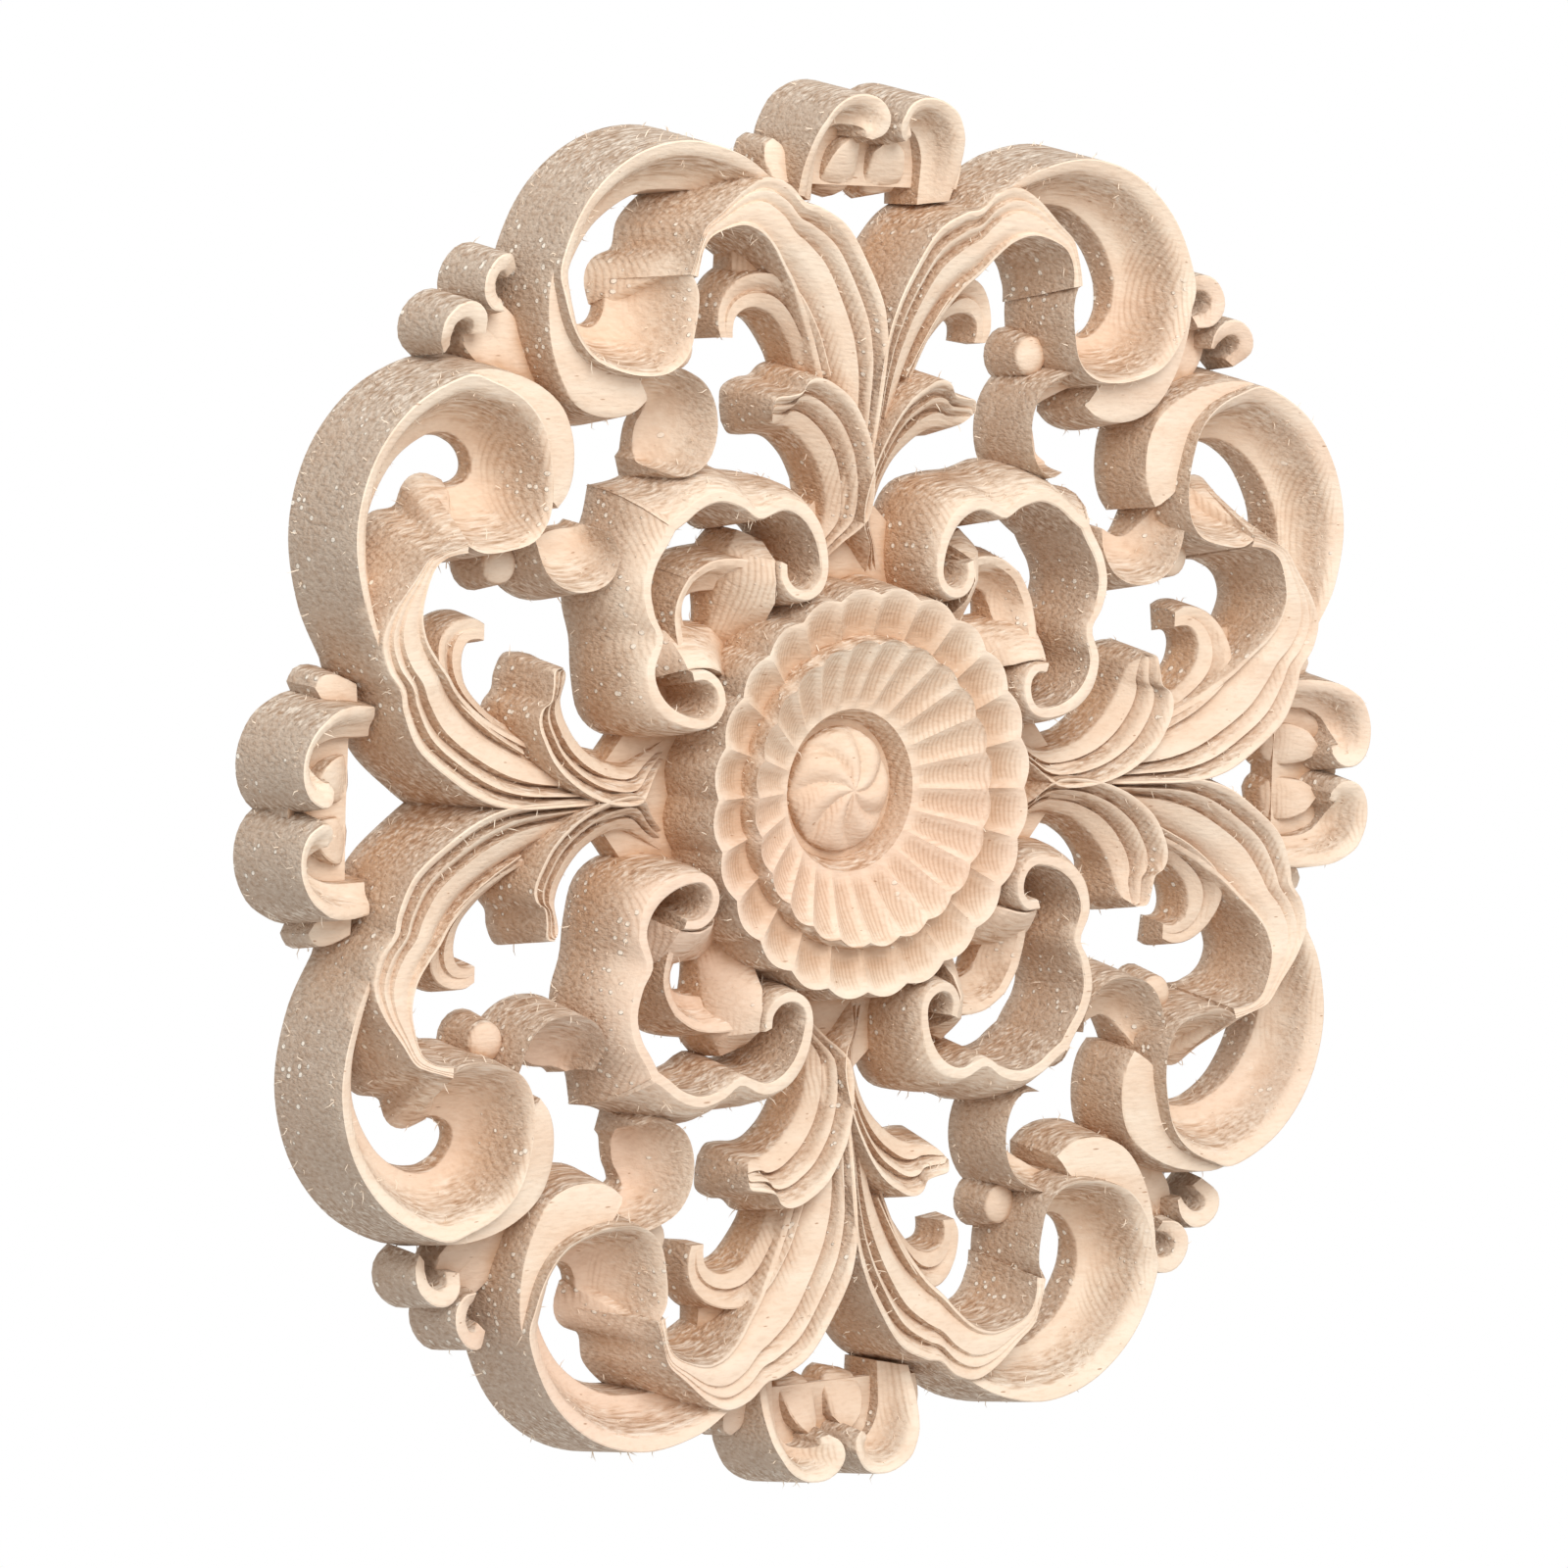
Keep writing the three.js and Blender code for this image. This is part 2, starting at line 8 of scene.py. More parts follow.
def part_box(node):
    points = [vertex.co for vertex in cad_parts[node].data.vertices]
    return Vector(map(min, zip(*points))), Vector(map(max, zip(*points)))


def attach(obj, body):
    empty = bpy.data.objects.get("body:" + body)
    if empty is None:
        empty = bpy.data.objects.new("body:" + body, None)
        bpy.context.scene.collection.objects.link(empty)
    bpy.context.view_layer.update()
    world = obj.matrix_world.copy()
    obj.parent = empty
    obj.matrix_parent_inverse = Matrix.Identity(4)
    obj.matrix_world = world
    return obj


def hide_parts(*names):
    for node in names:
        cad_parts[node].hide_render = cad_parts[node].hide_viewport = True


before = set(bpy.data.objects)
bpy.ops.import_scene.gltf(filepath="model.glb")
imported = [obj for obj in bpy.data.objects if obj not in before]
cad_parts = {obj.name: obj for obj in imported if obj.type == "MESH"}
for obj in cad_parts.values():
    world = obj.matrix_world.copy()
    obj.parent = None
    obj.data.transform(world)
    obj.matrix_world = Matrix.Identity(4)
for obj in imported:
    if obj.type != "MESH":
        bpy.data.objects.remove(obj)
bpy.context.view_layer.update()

bl_info = {
    "name": "Carved wood applique",
    "version": (1, 0, 0),
    "blender": (4, 5, 0),
    "location": "3D View > Sidebar > Applique",
    "description": "Builds a round pierced wood relief with its raw wood and its studio",
    "category": "Object",
}

# The row frame: X to the right, Z up, the carved front faces -Y and the flat back is at Y = 0.
# The design repeats eight times. Each form is drawn once, in the eighth between the upward
# axis and the diagonal, in thousandths of the design radius. Heights above the back are shares
# of the board's thickness.

# Straight after load, the box holds the CAD alone.
NODE = "carved_applique"
LOW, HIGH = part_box(NODE)
HALF_WIDTH = (HIGH.x - LOW.x) / 2
THICKNESS = HIGH.y - LOW.y
DRAWN_RADIUS = 1000       # the design radius in the drawing
KNOT_REACH = 1.0225       # half the width over the knots, in design radii
MM = 0.001
SHOULDER_FALL = 0.14      # how far a cavetto's shoulder falls, as a share of the way down
HOLLOW_CURVE = 2.1        # above 1 its hollow falls faster at the shoulder


# Curves of the drawing

def round_points(cu, cv, r0, r1, a0, a1, count):
    """Points on a round stretch, whose radius may grow or shrink on the way."""
    t = np.linspace(0, 1, count)
    r = r0 + (r1 - r0) * t
    a = np.radians(a0 + (a1 - a0) * t)
    return [list(p) for p in np.stack([cu + r * np.cos(a), cv + r * np.sin(a)], -1)]


def smooth_curve(points, t):
    """Places, in design radii, on the smooth curve through drawn points, t from 0 to 1 along."""
    p = np.array(points) / DRAWN_RADIUS
    p = np.vstack([2 * p[0] - p[1], p, 2 * p[-1] - p[-2]])
    place = np.clip(t, 0, 1) * (len(points) - 1)
    i = np.minimum(place.astype(int), len(points) - 2)
    w = (place - i)[:, None]
    p0, p1, p2, p3 = p[i], p[i + 1], p[i + 2], p[i + 3]
    t1, t2 = (p2 - p0) / 2, (p3 - p1) / 2
    return (2 * w**3 - 3 * w**2 + 1) * p1 + (w**3 - 2 * w**2 + w) * t1 \
        + (3 * w**2 - 2 * w**3) * p2 + (w**3 - w**2) * t2


def along(values, t):
    """Values of a short list that is spread evenly along a form."""
    return np.interp(t, np.linspace(0, 1, len(values)), values)


# Sections of the forms: the share of the way up from the inner to the outer edge's height, at a
# share s of the way in from the outer edge and t of the way along.

def level(s, t):
    return 1 - s


def swelling(rise):
    """A round rise over the straight line between the edges."""
    return lambda s, t: 1 - s + rise * 4 * s * (1 - s)


def cavetto(shoulders):
    """A nearly level shoulder behind the outer edge, then a hollow down to the inner edge."""
    def section(s, t):
        wide = along(shoulders, t)
        fall = np.clip((s - wide) / (1 - wide), 0, 1)
        return (1 - SHOULDER_FALL * np.clip(s / wide, 0, 1)) * (1 - fall) ** HOLLOW_CURVE
    return section


def smooth(s, t):
    """No grooves. A groove is a depth below the section, in shares of the thickness."""
    return 0 * s


def veined(stations, shares, depths):
    """Bands that fall gently into a vein and rise sharply out of it, fainter along the form."""
    return lambda s, t: along(depths, t) * np.interp(s, stations, shares)


LEAF_BANDS = [0, 0.08, 0.2, 0.235, 0.28, 0.42, 0.46, 0.68, 0.88, 0.93, 1]
LEAF_VEINS = [0, 0, 1, 0, 0, 1, 0, 0, 1, 0, 0]
LOBE_BANDS = [0, 0.1, 0.3, 0.35, 0.44, 0.62, 0.67, 1]
LOBE_VEINS = [0, 0, 1, 0, 0, 1, 0, 0]
HOOK_BANDS = [0, 0.2, 0.5, 0.56, 1]
HOOK_VEINS = [0, 0, 1, 0, 0]

# A wall's foot is drawn, or else worked out from its edge by the taper. "height" is for both
# edges, and a "round_wall" above 1 swells the outer wall.
FORMS = {
    "scroll bowl": dict(
        outer=[[205, 868], *round_points(370, 694, 230, 230, 112, 14, 5), [585, 700], [564, 652],
          [532, 619], [490, 603], [445, 596], [400, 601], [368, 625], [355, 668], [352, 712],
          [366, 745]],
        inner=[[225, 845], [268, 850], [330, 856], [403, 850], [470, 810], [506, 757], [513, 712],
          [503, 684], [490, 669], [475, 661], [461, 660], [450, 665], [442, 675], [438, 687],
          [436, 700], [436, 714]],
        outer_height=[0.92, *[1] * 14, 0.97],
        inner_height=[0.8, 0.62, 0.46, 0.4, 0.36, 0.32, 0.27, 0.22, *[0.2] * 8],
        section=cavetto([0.3, 0.3, 0.28, 0.24, 0.16, 0.12, 0.1, 0.1]),
    ),
    "scroll lip": dict(
        outer=[[576, 790], [601, 725], [598, 660], [580, 605], [550, 562], [510, 541], [465, 537],
          [432, 545], [411, 561]],
        inner=[[570, 784], [580, 712], [572, 668], [552, 637], [525, 620], [490, 612], [460, 605],
          [434, 593], [416, 569]],
        outer_height=[0.9, 0.88, 0.83, 0.8, 0.76, 0.75, 0.74, 0.72],
        inner_height=[0.88, 0.86, 0.85, 0.84, 0.84, 0.83, 0.8, 0.76],
    ),
    "leaf": dict(
        outer=[[-4, 400], [-4, 480], [-4, 560], [-2, 640], [12, 700], [42, 755], [85, 812],
          [135, 838], [165, 845], [195, 868], [235, 878], [275, 861], [316, 828], [345, 805],
          [355, 782], [362, 758], [368, 738]],
        inner=[[36, 400], [46, 450], [58, 500], [72, 550], [90, 600], [112, 650], [135, 690],
          [160, 725], [185, 750], [208, 775], [235, 797], [268, 808], [300, 804], [330, 792],
          [344, 775], [350, 755], [352, 735]],
        outer_foot=[[-20, 400], [-20, 480], [-20, 560], [-20, 650], [-10, 720], [24, 775],
          [70, 830], [120, 858], [155, 865], [190, 885], [240, 895], [300, 885], [360, 850],
          [400, 812], [410, 772], [438, 757], [453, 725]],
        inner_foot=[[60, 390], [70, 440], [82, 490], [95, 540], [112, 590], [132, 635], [153, 672],
          [175, 705], [195, 735], [213, 757], [240, 775], [270, 786], [296, 779], [312, 763],
          [320, 745], [325, 730], [326, 710]],
        outer_height=[0.6, 0.74, 0.86, 0.96, *[1] * 12, 0.98],
        inner_height=[0.4, 0.46, 0.5, 0.54, 0.58, 0.62, 0.68, 0.76, 0.84, 0.9, 0.94, 0.97, 0.98,
          0.98, 0.98, 0.98, 0.96],
        stations=LEAF_BANDS,
        groove=veined(LEAF_BANDS, LEAF_VEINS,
          [0.08, 0.12, 0.13, 0.13, 0.12, 0.09, 0.05, 0.02, 0.01, 0.01, 0.01]),
    ),
    "side lobe": dict(
        outer=[[52, 305], [30, 352], [-4, 392], [-4, 450], [15, 510], [50, 562], [90, 589],
          [116, 597], [134, 591], [144, 576], [165, 571], [187, 567], [191, 550]],
        inner=[[82, 310], [60, 355], [45, 390], [50, 430], [65, 465], [85, 490], [110, 511],
          [128, 521], [143, 526], [155, 527], [167, 528], [178, 532], [184, 540]],
        outer_foot=[[35, 300], [10, 340], [-20, 385], [-20, 460], [0, 530], [40, 585], [88, 610],
          [116, 617], [138, 611], [155, 597], [179, 593], [204, 578], [206, 550]],
        inner_foot=[[94, 320], [74, 360], [58, 390], [62, 425], [75, 455], [92, 482], [114, 502],
          [130, 510], [145, 512], [160, 511], [175, 511], [190, 514], [202, 530]],
        outer_height=[0.2, 0.5, 0.7, 0.8, 0.87, 0.9, 0.9, 0.88, 0.87, 0.86, 0.85, 0.82, 0.78],
        inner_height=[0.26, 0.3, 0.35, 0.4, 0.43, 0.45, 0.48, 0.5, 0.52, 0.55, 0.6, 0.66, 0.72],
        stations=LOBE_BANDS,
        groove=veined(LOBE_BANDS, LOBE_VEINS, [0.03, 0.08, 0.11, 0.12, 0.12, 0.09, 0.05, 0.02]),
    ),
    "hooked lobe": dict(
        outer=[[70, 600], [100, 660], [135, 710], [165, 735], [193, 743], [222, 737], [244, 720],
          [256, 695], [257, 668], [250, 650]],
        inner=[[100, 585], [120, 630], [145, 665], [165, 684], [185, 692], [203, 693], [218, 687],
          [226, 677], [228, 663], [226, 650]],
        outer_height=[0.66, 0.72, 0.74, 0.7, 0.62, 0.52, 0.45, 0.42, 0.42, 0.4],
        inner_height=[0.34, 0.4, 0.44, 0.46, 0.47, 0.47, 0.45, 0.43, 0.42, 0.4],
        stations=HOOK_BANDS,
        groove=veined(HOOK_BANDS, HOOK_VEINS, [0.06, 0.08, 0.08, 0.05, 0.02, 0.0]),
    ),
    "valley beside the small hole": dict(
        outer=[[170, 775], [200, 785], [225, 790]],
        inner=[[180, 725], [205, 735], [222, 745]],
        height=[0.5, 0.42, 0.3],
    ),
    "lobe at the end of the scroll": dict(
        outer=[[362, 752], [378, 742], [397, 730], [416, 717], [436, 703]],
        inner=[[360, 730], [374, 720], [390, 708], [408, 696], [430, 688]],
        outer_foot=[[415, 768], [438, 759], [452, 743], [455, 720], [446, 692]],
        outer_height=[1, 0.82, 0.6, 0.4, 0.2],
        inner_height=[0.8, 0.5, 0.34, 0.22, 0.14],
    ),
    "curl under the scroll": dict(
        outer=[[405, 617], [365, 608], [322, 588], [299, 553], [296, 510], [312, 473], [345, 455],
          [378, 462]],
        inner=[[410, 588], [385, 573], [364, 556], [366, 540], [374, 524], [378, 505], [380, 487],
          [386, 476]],
        outer_height=[0.8, 0.85, 0.85, 0.85, 0.84, 0.8, 0.68],
        inner_height=[0.5, 0.36, 0.22, 0.18, 0.18, 0.2, 0.3],
        section=cavetto([0.07, 0.07]),
    ),
    "heart rim": dict(
        outer=[*round_points(143, 322, 42, 42, 20, -180, 6), [105, 358], [120, 392], [148, 418],
          [190, 427], [231, 411], [263, 429], [302, 438], [342, 427], [375, 405], [398, 392]],
        inner=[*round_points(143, 322, 27, 27, 20, -180, 6), [122, 355], [138, 384], [161, 403],
          [189, 409], [230, 396], [262, 412], [300, 421], [334, 412], [362, 393], [386, 378]],
        outer_foot=[*round_points(143, 322, 56, 60, 20, -180, 6), [82, 362], [90, 410], [120, 445],
          [175, 459], [225, 464], [272, 478], [318, 478], [354, 468], [392, 448], [440, 438]],
        height=[0.92, 1, 1, 1, 1, 1],
        round_wall=2.0,
    ),
    "inner arch": dict(
        outer=[[176, 330], [205, 336], [240, 339], [272, 335], [296, 323], [314, 310]],
        inner=[[190, 300], [215, 297], [240, 292], [260, 290], [275, 285], [284, 280]],
        outer_foot=[[160, 366], [200, 361], [240, 356], [278, 351], [310, 343], [336, 328]],
        outer_height=[0.86, 0.7, 0.62, 0.6, 0.6],
        inner_height=[0.7, 0.44, 0.3, 0.25, 0.25],
        section=cavetto([0.3, 0.3]),
    ),
    "hood over the curl": dict(
        outer=[[168, 362], [184, 337], [187, 306], [180, 276], [172, 246], [165, 215]],
        inner=[[210, 378], [236, 347], [242, 306], [240, 266], [238, 235], [222, 200]],
        outer_height=[0.48, 0.86, 0.92, 0.84, 0.6, 0.4],
        inner_height=[0.42, 0.5, 0.38, 0.28, 0.24, 0.2],
        section=swelling(0.12),
    ),
    "knot": dict(
        outer=[[142, 855], [145, 890], [143, 920], [138, 943], [128, 962], [115, 980], [95, 993],
          [72, 1000], [46, 999], [25, 989], [13, 972], [10, 957], [16, 944], [30, 937]],
        inner=[[100, 848], [100, 875], [100, 898], [98, 916], [93, 932], [86, 945], [77, 954],
          [67, 958], [57, 958], [50, 956], [45, 953], [43, 949], [43, 945], [44, 941]],
        outer_height=[0.65, 0.75, 0.85, 0.92, 0.97, 1, 1, 1, 1, 1, 1, 0.96, 0.91, 0.85],
        inner_height=[0.48, 0.5, 0.52, 0.54, 0.55, 0.55, 0.56, 0.6, 0.68, 0.76, 0.82, 0.85, 0.85,
          0.8],
        section=cavetto([0.35, 0.35]),
    ),
    "knot floor": dict(
        outer=[[-5, 985], [-5, 930], [-5, 872]],
        inner=[[100, 975], [115, 925], [115, 872]],
        outer_height=[0.55, 0.34, 0.36],
        inner_height=[0.5, 0.42, 0.38],
    ),
    "tongue in the knot": dict(
        outer=[[72, 866], [74, 890], [62, 922], [34, 946]],
        inner=[[30, 858], [16, 868], [10, 890], [14, 920]],
        outer_height=[0.28, 0.46, 0.57, 0.6],
        inner_height=[0.24, 0.3, 0.4, 0.47],
        section=swelling(0.2),
    ),
    "bud beside the knot": dict(
        outer=[[172, 872], [184, 900], [183, 924], [168, 934]],
        inner=[[140, 872], [145, 895], [148, 912], [152, 924]],
        outer_height=[0.5, 0.46, 0.45, 0.42],
        inner_height=[0.52, 0.5, 0.48, 0.44],
    ),
    "rim curl on the diagonal": dict(
        outer=[[622, 740], [642, 758], [669, 755], [690, 731], [692, 703], [675, 683], [650, 680]],
        inner=[[634, 726], [648, 735], [662, 733], [670, 720], [668, 708], [660, 700], [648, 698]],
        outer_height=[0.5, 0.66, 0.7, 0.7, 0.66, 0.6],
        inner_height=[0.45, 0.6, 0.64, 0.64, 0.6, 0.5],
    ),
    "web on the diagonal": dict(
        outer=[[515, 575], [580, 640], [630, 690], [675, 700]],
        inner=[[550, 540], [615, 605], [660, 660], [700, 680]],
        height=[0.42, 0.42, 0.34, 0.32],
    ),
    "floor under the leaf base": dict(
        outer=[[-5, 270], [-5, 360], [-5, 450]],
        inner=[[160, 280], [115, 360], [50, 420]],
        height=[0.26, 0.26],
    ),
}

# Low round bosses: centre, radius and height.
BOSSES = [
    {"name": "knob under the leaf tip", "at": (333, 633), "radius": 30, "height": 0.52},
    {"name": "eye of the heart curl", "at": (143, 322), "radius": 40, "height": 0.25},
]


# Solids

def mesh_object(name, places, faces):
    mesh = bpy.data.meshes.new(name)
    mesh.from_pydata([tuple(p) for p in places], [], faces)
    mesh.validate()
    piece = bpy.data.objects.new(name, mesh)
    bpy.context.scene.collection.objects.link(piece)
    return piece


def drop(piece):
    mesh = piece.data
    bpy.data.objects.remove(piece)
    bpy.data.meshes.remove(mesh)


def join(first, second):
    """The two solids as one. Both are used up."""
    cut = first.modifiers.new("join", "BOOLEAN")
    cut.operation = "UNION"
    cut.solver = "MANIFOLD"
    cut.object = second
    graph = bpy.context.evaluated_depsgraph_get()
    mesh = bpy.data.meshes.new_from_object(first.evaluated_get(graph))
    name = first.name
    drop(first)
    drop(second)
    piece = bpy.data.objects.new(name, mesh)
    bpy.context.scene.collection.objects.link(piece)
    return piece


def reflected(piece, matrix):
    """A mirror image of the solid, turned right side out."""
    copy = bpy.data.objects.new(piece.name + "_mirrored", piece.data.copy())
    bpy.context.scene.collection.objects.link(copy)
    copy.data.transform(matrix)
    copy.data.flip_normals()
    return copy


def place(sizes, u, v, height):
    """A place of the drawing, at a share of the thickness over the back, in the row frame."""
    r = sizes.design_radius
    return np.stack([u * r, -height * sizes.board_thickness, v * r], -1)


def unit(v):
    return v / np.maximum(np.linalg.norm(v, axis=-1, keepdims=True), 1e-12)


EDGE_PROBES = 200         # points at which an edge is measured
MOST_EASE = 0.2           # widest easing of an edge, as a share of the form's width
EASE_DROP = 0.7           # fall of the eased corner per unit of its width


def foot_of(form, edge, other, heights, t, sizes):
    """Foot of a wall on the back: drawn, or a little outside its edge by the wall's taper."""
    drawn = form.get(edge + "_foot")
    if drawn:
        return smooth_curve(drawn, t)
    top, far = smooth_curve(form[edge], t), smooth_curve(form[other], t)
    heading = unit(np.gradient(top, axis=0))
    middle = len(t) // 2
    outward = np.sign(np.cross(heading[middle], (top - far)[middle]))
    normal = outward * np.stack([-heading[:, 1], heading[:, 0]], -1)
    run = sizes.wall_taper * sizes.board_thickness / sizes.design_radius
    return top + normal * (run * heights)[:, None]


def carve(name, form, sizes):
    """One form: a carved top between two edges, tapered walls and a flat back."""
    radius, thickness = sizes.design_radius, sizes.board_thickness
    probe = np.linspace(0, 1, EDGE_PROBES)
    a, b = smooth_curve(form["outer"], probe), smooth_curve(form["inner"], probe)
    length = max(np.linalg.norm(np.diff(e, axis=0), axis=1).sum() for e in (a, b)) * radius
    width = np.linalg.norm(a - b, axis=1).max() * radius
    ribs = max(3, int(length / sizes.mesh_step))
    strips = max(2, int(width / sizes.mesh_step))
    t = np.linspace(0, 1, ribs + 1)
    a, b = smooth_curve(form["outer"], t), smooth_curve(form["inner"], t)
    ha, hb = (along(form.get(edge + "_height", form.get("height")), t)
              for edge in ("outer", "inner"))
    foot_a = foot_of(form, "outer", "inner", ha, t, sizes)
    foot_b = foot_of(form, "inner", "outer", hb, t, sizes)
    section = form.get("section", level)
    groove = form.get("groove", smooth)
    # The corner between top and wall is eased a little, as the cutter leaves it.
    ease = min(MOST_EASE, sizes.edge_ease / width)
    inside = np.concatenate([np.linspace(ease, 1 - ease, strips + 1), form.get("stations", [])])
    inside = np.unique(np.round(inside[(inside >= ease) & (inside <= 1 - ease)], 2))
    s = np.concatenate([[0], inside, [1]])
    fall = np.zeros_like(s)
    fall[[0, -1]] = sizes.edge_ease * EASE_DROP / thickness
    climb = np.linspace(0, 1, sizes.wall_rows + 1)[:-1]
    columns = []
    for k in climb:
        edge = a + (foot_a - a) * (1 - k ** form.get("round_wall", 1))
        columns.append(place(sizes, edge[:, 0], edge[:, 1], ha * k))
    for share, eased in zip(s, fall):
        line = a + (b - a) * share
        shares = share + 0 * t
        height = hb + (ha - hb) * section(shares, t) - groove(shares, t) - eased
        columns.append(place(sizes, line[:, 0], line[:, 1], height))
    for k in climb[::-1]:
        edge = b + (foot_b - b) * (1 - k)
        columns.append(place(sizes, edge[:, 0], edge[:, 1], hb * k))
    grid = np.stack(columns, 1)
    n, m = grid.shape[:2]
    i, j = np.meshgrid(np.arange(n - 1), np.arange(m), indexing="ij")
    k = (j + 1) % m
    quads = np.stack([i * m + j, i * m + k, (i + 1) * m + k, (i + 1) * m + j], -1).reshape(-1, 4)
    caps = [np.arange(m)[::-1], (n - 1) * m + np.arange(m)]
    middle = len(t) // 2
    if np.cross(np.gradient(a, axis=0)[middle], (a - b)[middle]) < 0:
        quads = quads[:, ::-1]
        caps = [c[::-1] for c in caps]
    faces = quads.tolist() + [c.tolist() for c in caps]
    return mesh_object(name, grid.reshape(-1, 3), faces)


def turned(name, centre, rings):
    """Rings of (radius, height) about an upright axis, closed on the axis at both ends."""
    sides = rings.shape[1]
    a = np.arange(sides) / sides * 2 * math.pi
    r, h = rings[..., 0], rings[..., 1]
    places = np.stack([centre[0] + r * np.sin(a), -h, centre[1] + r * np.cos(a)], -1).reshape(-1, 3)
    faces = []
    for k in range(len(rings) - 1):
        for i in range(sides):
            j = (i + 1) % sides
            faces.append([k * sides + i, (k + 1) * sides + i, (k + 1) * sides + j, k * sides + j])
    places = np.vstack([places, [centre[0], 0, centre[1]], [centre[0], -h[-1].mean(), centre[1]]])
    foot, crown, last = len(places) - 2, len(places) - 1, (len(rings) - 1) * sides
    for i in range(sides):
        j = (i + 1) % sides
        faces.append([foot, i, j])
        faces.append([crown, last + j, last + i])
    return mesh_object(name, places, faces)


BOSS_SHOULDER = 0.8       # where a boss's wall turns into its dome, as a share of its height
DOME_END = math.radians(84)   # the last ring of the dome, just short of its crown


def boss(item, sizes):
    """A low round knob with a domed top."""
    scale = sizes.design_radius / DRAWN_RADIUS
    top = item["height"] * sizes.board_thickness
    wide = item["radius"] * scale
    sides = max(12, int(2 * math.pi * wide / sizes.mesh_step))
    profile = [(wide + sizes.wall_taper * top * (1 - k), k * BOSS_SHOULDER * top)
               for k in (0, 0.3, 0.6)]
    profile += [(wide * math.cos(a), top * (BOSS_SHOULDER + (1 - BOSS_SHOULDER) * math.sin(a)))
                for a in np.linspace(0, DOME_END, 7)]
    rings = np.repeat(np.array(profile)[:, None, :], sides, 1)
    return turned(item["name"], [drawn * scale for drawn in item["at"]], rings)


RIM_DROP = 0.1 * MM       # the scalloped rim lies this far below the board's face
TROUGH_SAG = 0.35 * MM    # hollow of a petal on its way down to the trough
TROUGH_RIDGE = 0.55 * MM  # ridge between two petals there
WALL_RIDGE = 0.5 * MM     # ridge between two petals at the foot of the inner ring
INNER_SCALLOP = 0.8       # scallops of the inner ring, as a share of the outer ring's
BOWL_CURVE = 0.9          # below 1 the bowl falls faster at its rim
FLUTE_ROUND = 0.6         # below 1 a flute keeps its depth nearly to its ends
PETAL_SIDES = 10          # sides of the mesh round each petal
BUD_PETALS = 7            # the bud in the middle has this many folded petals
BUD_TWIST = 2.6           # how far their folds wind on the way in
BUD_FOLD = 0.65 * MM      # depth of the folds


def rosette(sizes):
    """Two scalloped rings about a fluted bowl with a domed button in its cup."""
    rim = sizes.board_thickness
    sides = sizes.petals * PETAL_SIDES
    a = np.arange(sides) / sides * 2 * math.pi
    wave = np.abs(np.sin(sizes.petals * a / 2))      # 0 at a nick, 1 at the middle of a petal
    nick = 1 - wave
    well = rim - sizes.ring_well
    lip = rim - sizes.bowl_depth
    floor = lip - sizes.cup_depth
    outer, inner, mouth = sizes.outer_ring, sizes.inner_ring, sizes.bowl_lip
    rings = []

    def ring(radius, height):
        rings.append(np.stack([radius + 0 * a, height + 0 * a], -1))

    scallop = sizes.scallop_depth * nick
    foot = inner + sizes.wall_taper * (rim - well)
    for k in np.linspace(0, 1, 5):
        ring(outer - scallop + sizes.wall_taper * rim * (1 - k), (rim - RIM_DROP) * k)
    for k in np.linspace(0.06, 1, 10):
        base = rim + (well - rim) * k
        ring(outer - scallop * (1 - k) + (foot - outer) * k,
             base - TROUGH_SAG * np.sin(math.pi * k) * wave + TROUGH_RIDGE * nick**2 * k)
    inner_scallop = INNER_SCALLOP * scallop
    start = well + WALL_RIDGE * nick
    for k in np.linspace(0, 1, 4)[1:]:
        ring(foot + (inner - inner_scallop - foot) * k, start + (rim - start) * k)
    for k in np.linspace(0.03, 1, 16):
        slope = k**BOWL_CURVE
        scoop = sizes.flute_depth * wave * max(0, math.sin(math.pi * k)) ** FLUTE_ROUND
        ring(inner - inner_scallop * (1 - k) + (mouth - inner) * k,
             rim + (lip - rim) * slope - scoop)
    for k in np.linspace(0, 1, 6)[1:]:
        ring(mouth + (sizes.cup_floor - mouth) * k, lip + (floor - lip) * k)
    for k in np.linspace(0, 1, 18)[:-1]:
        angle = math.pi / 2 * k
        swirl = np.abs(np.sin(BUD_PETALS / 2 * a + BUD_TWIST * math.cos(angle)))
        fold = BUD_FOLD * math.sin(2 * angle) * (1 - swirl)
        ring(sizes.button_radius * math.cos(angle),
             floor + sizes.button_rise * math.sin(angle) ** BOWL_CURVE - fold)
    return turned("rosette", (0, 0), np.array(rings))


ACROSS_DIAGONAL = Matrix(((0, 0, 1, 0), (0, 1, 0, 0), (1, 0, 0, 0), (0, 0, 0, 1)))
ACROSS_UPRIGHT = Matrix.Diagonal((-1, 1, 1, 1))
ACROSS_LEVEL = Matrix.Diagonal((1, 1, -1, 1))


def whole_relief(sizes):
    """All forms and bosses of one eighth, laid eight times by the mirrors, about the rosette."""
    solid = None
    for name, form in FORMS.items():
        piece = carve(name, form, sizes)
        solid = join(solid, piece) if solid else piece
    for item in BOSSES:
        solid = join(solid, boss(item, sizes))
    for mirror in (ACROSS_DIAGONAL, ACROSS_UPRIGHT, ACROSS_LEVEL):
        solid = join(solid, reflected(solid, mirror))
    return join(solid, rosette(sizes))


# Looks

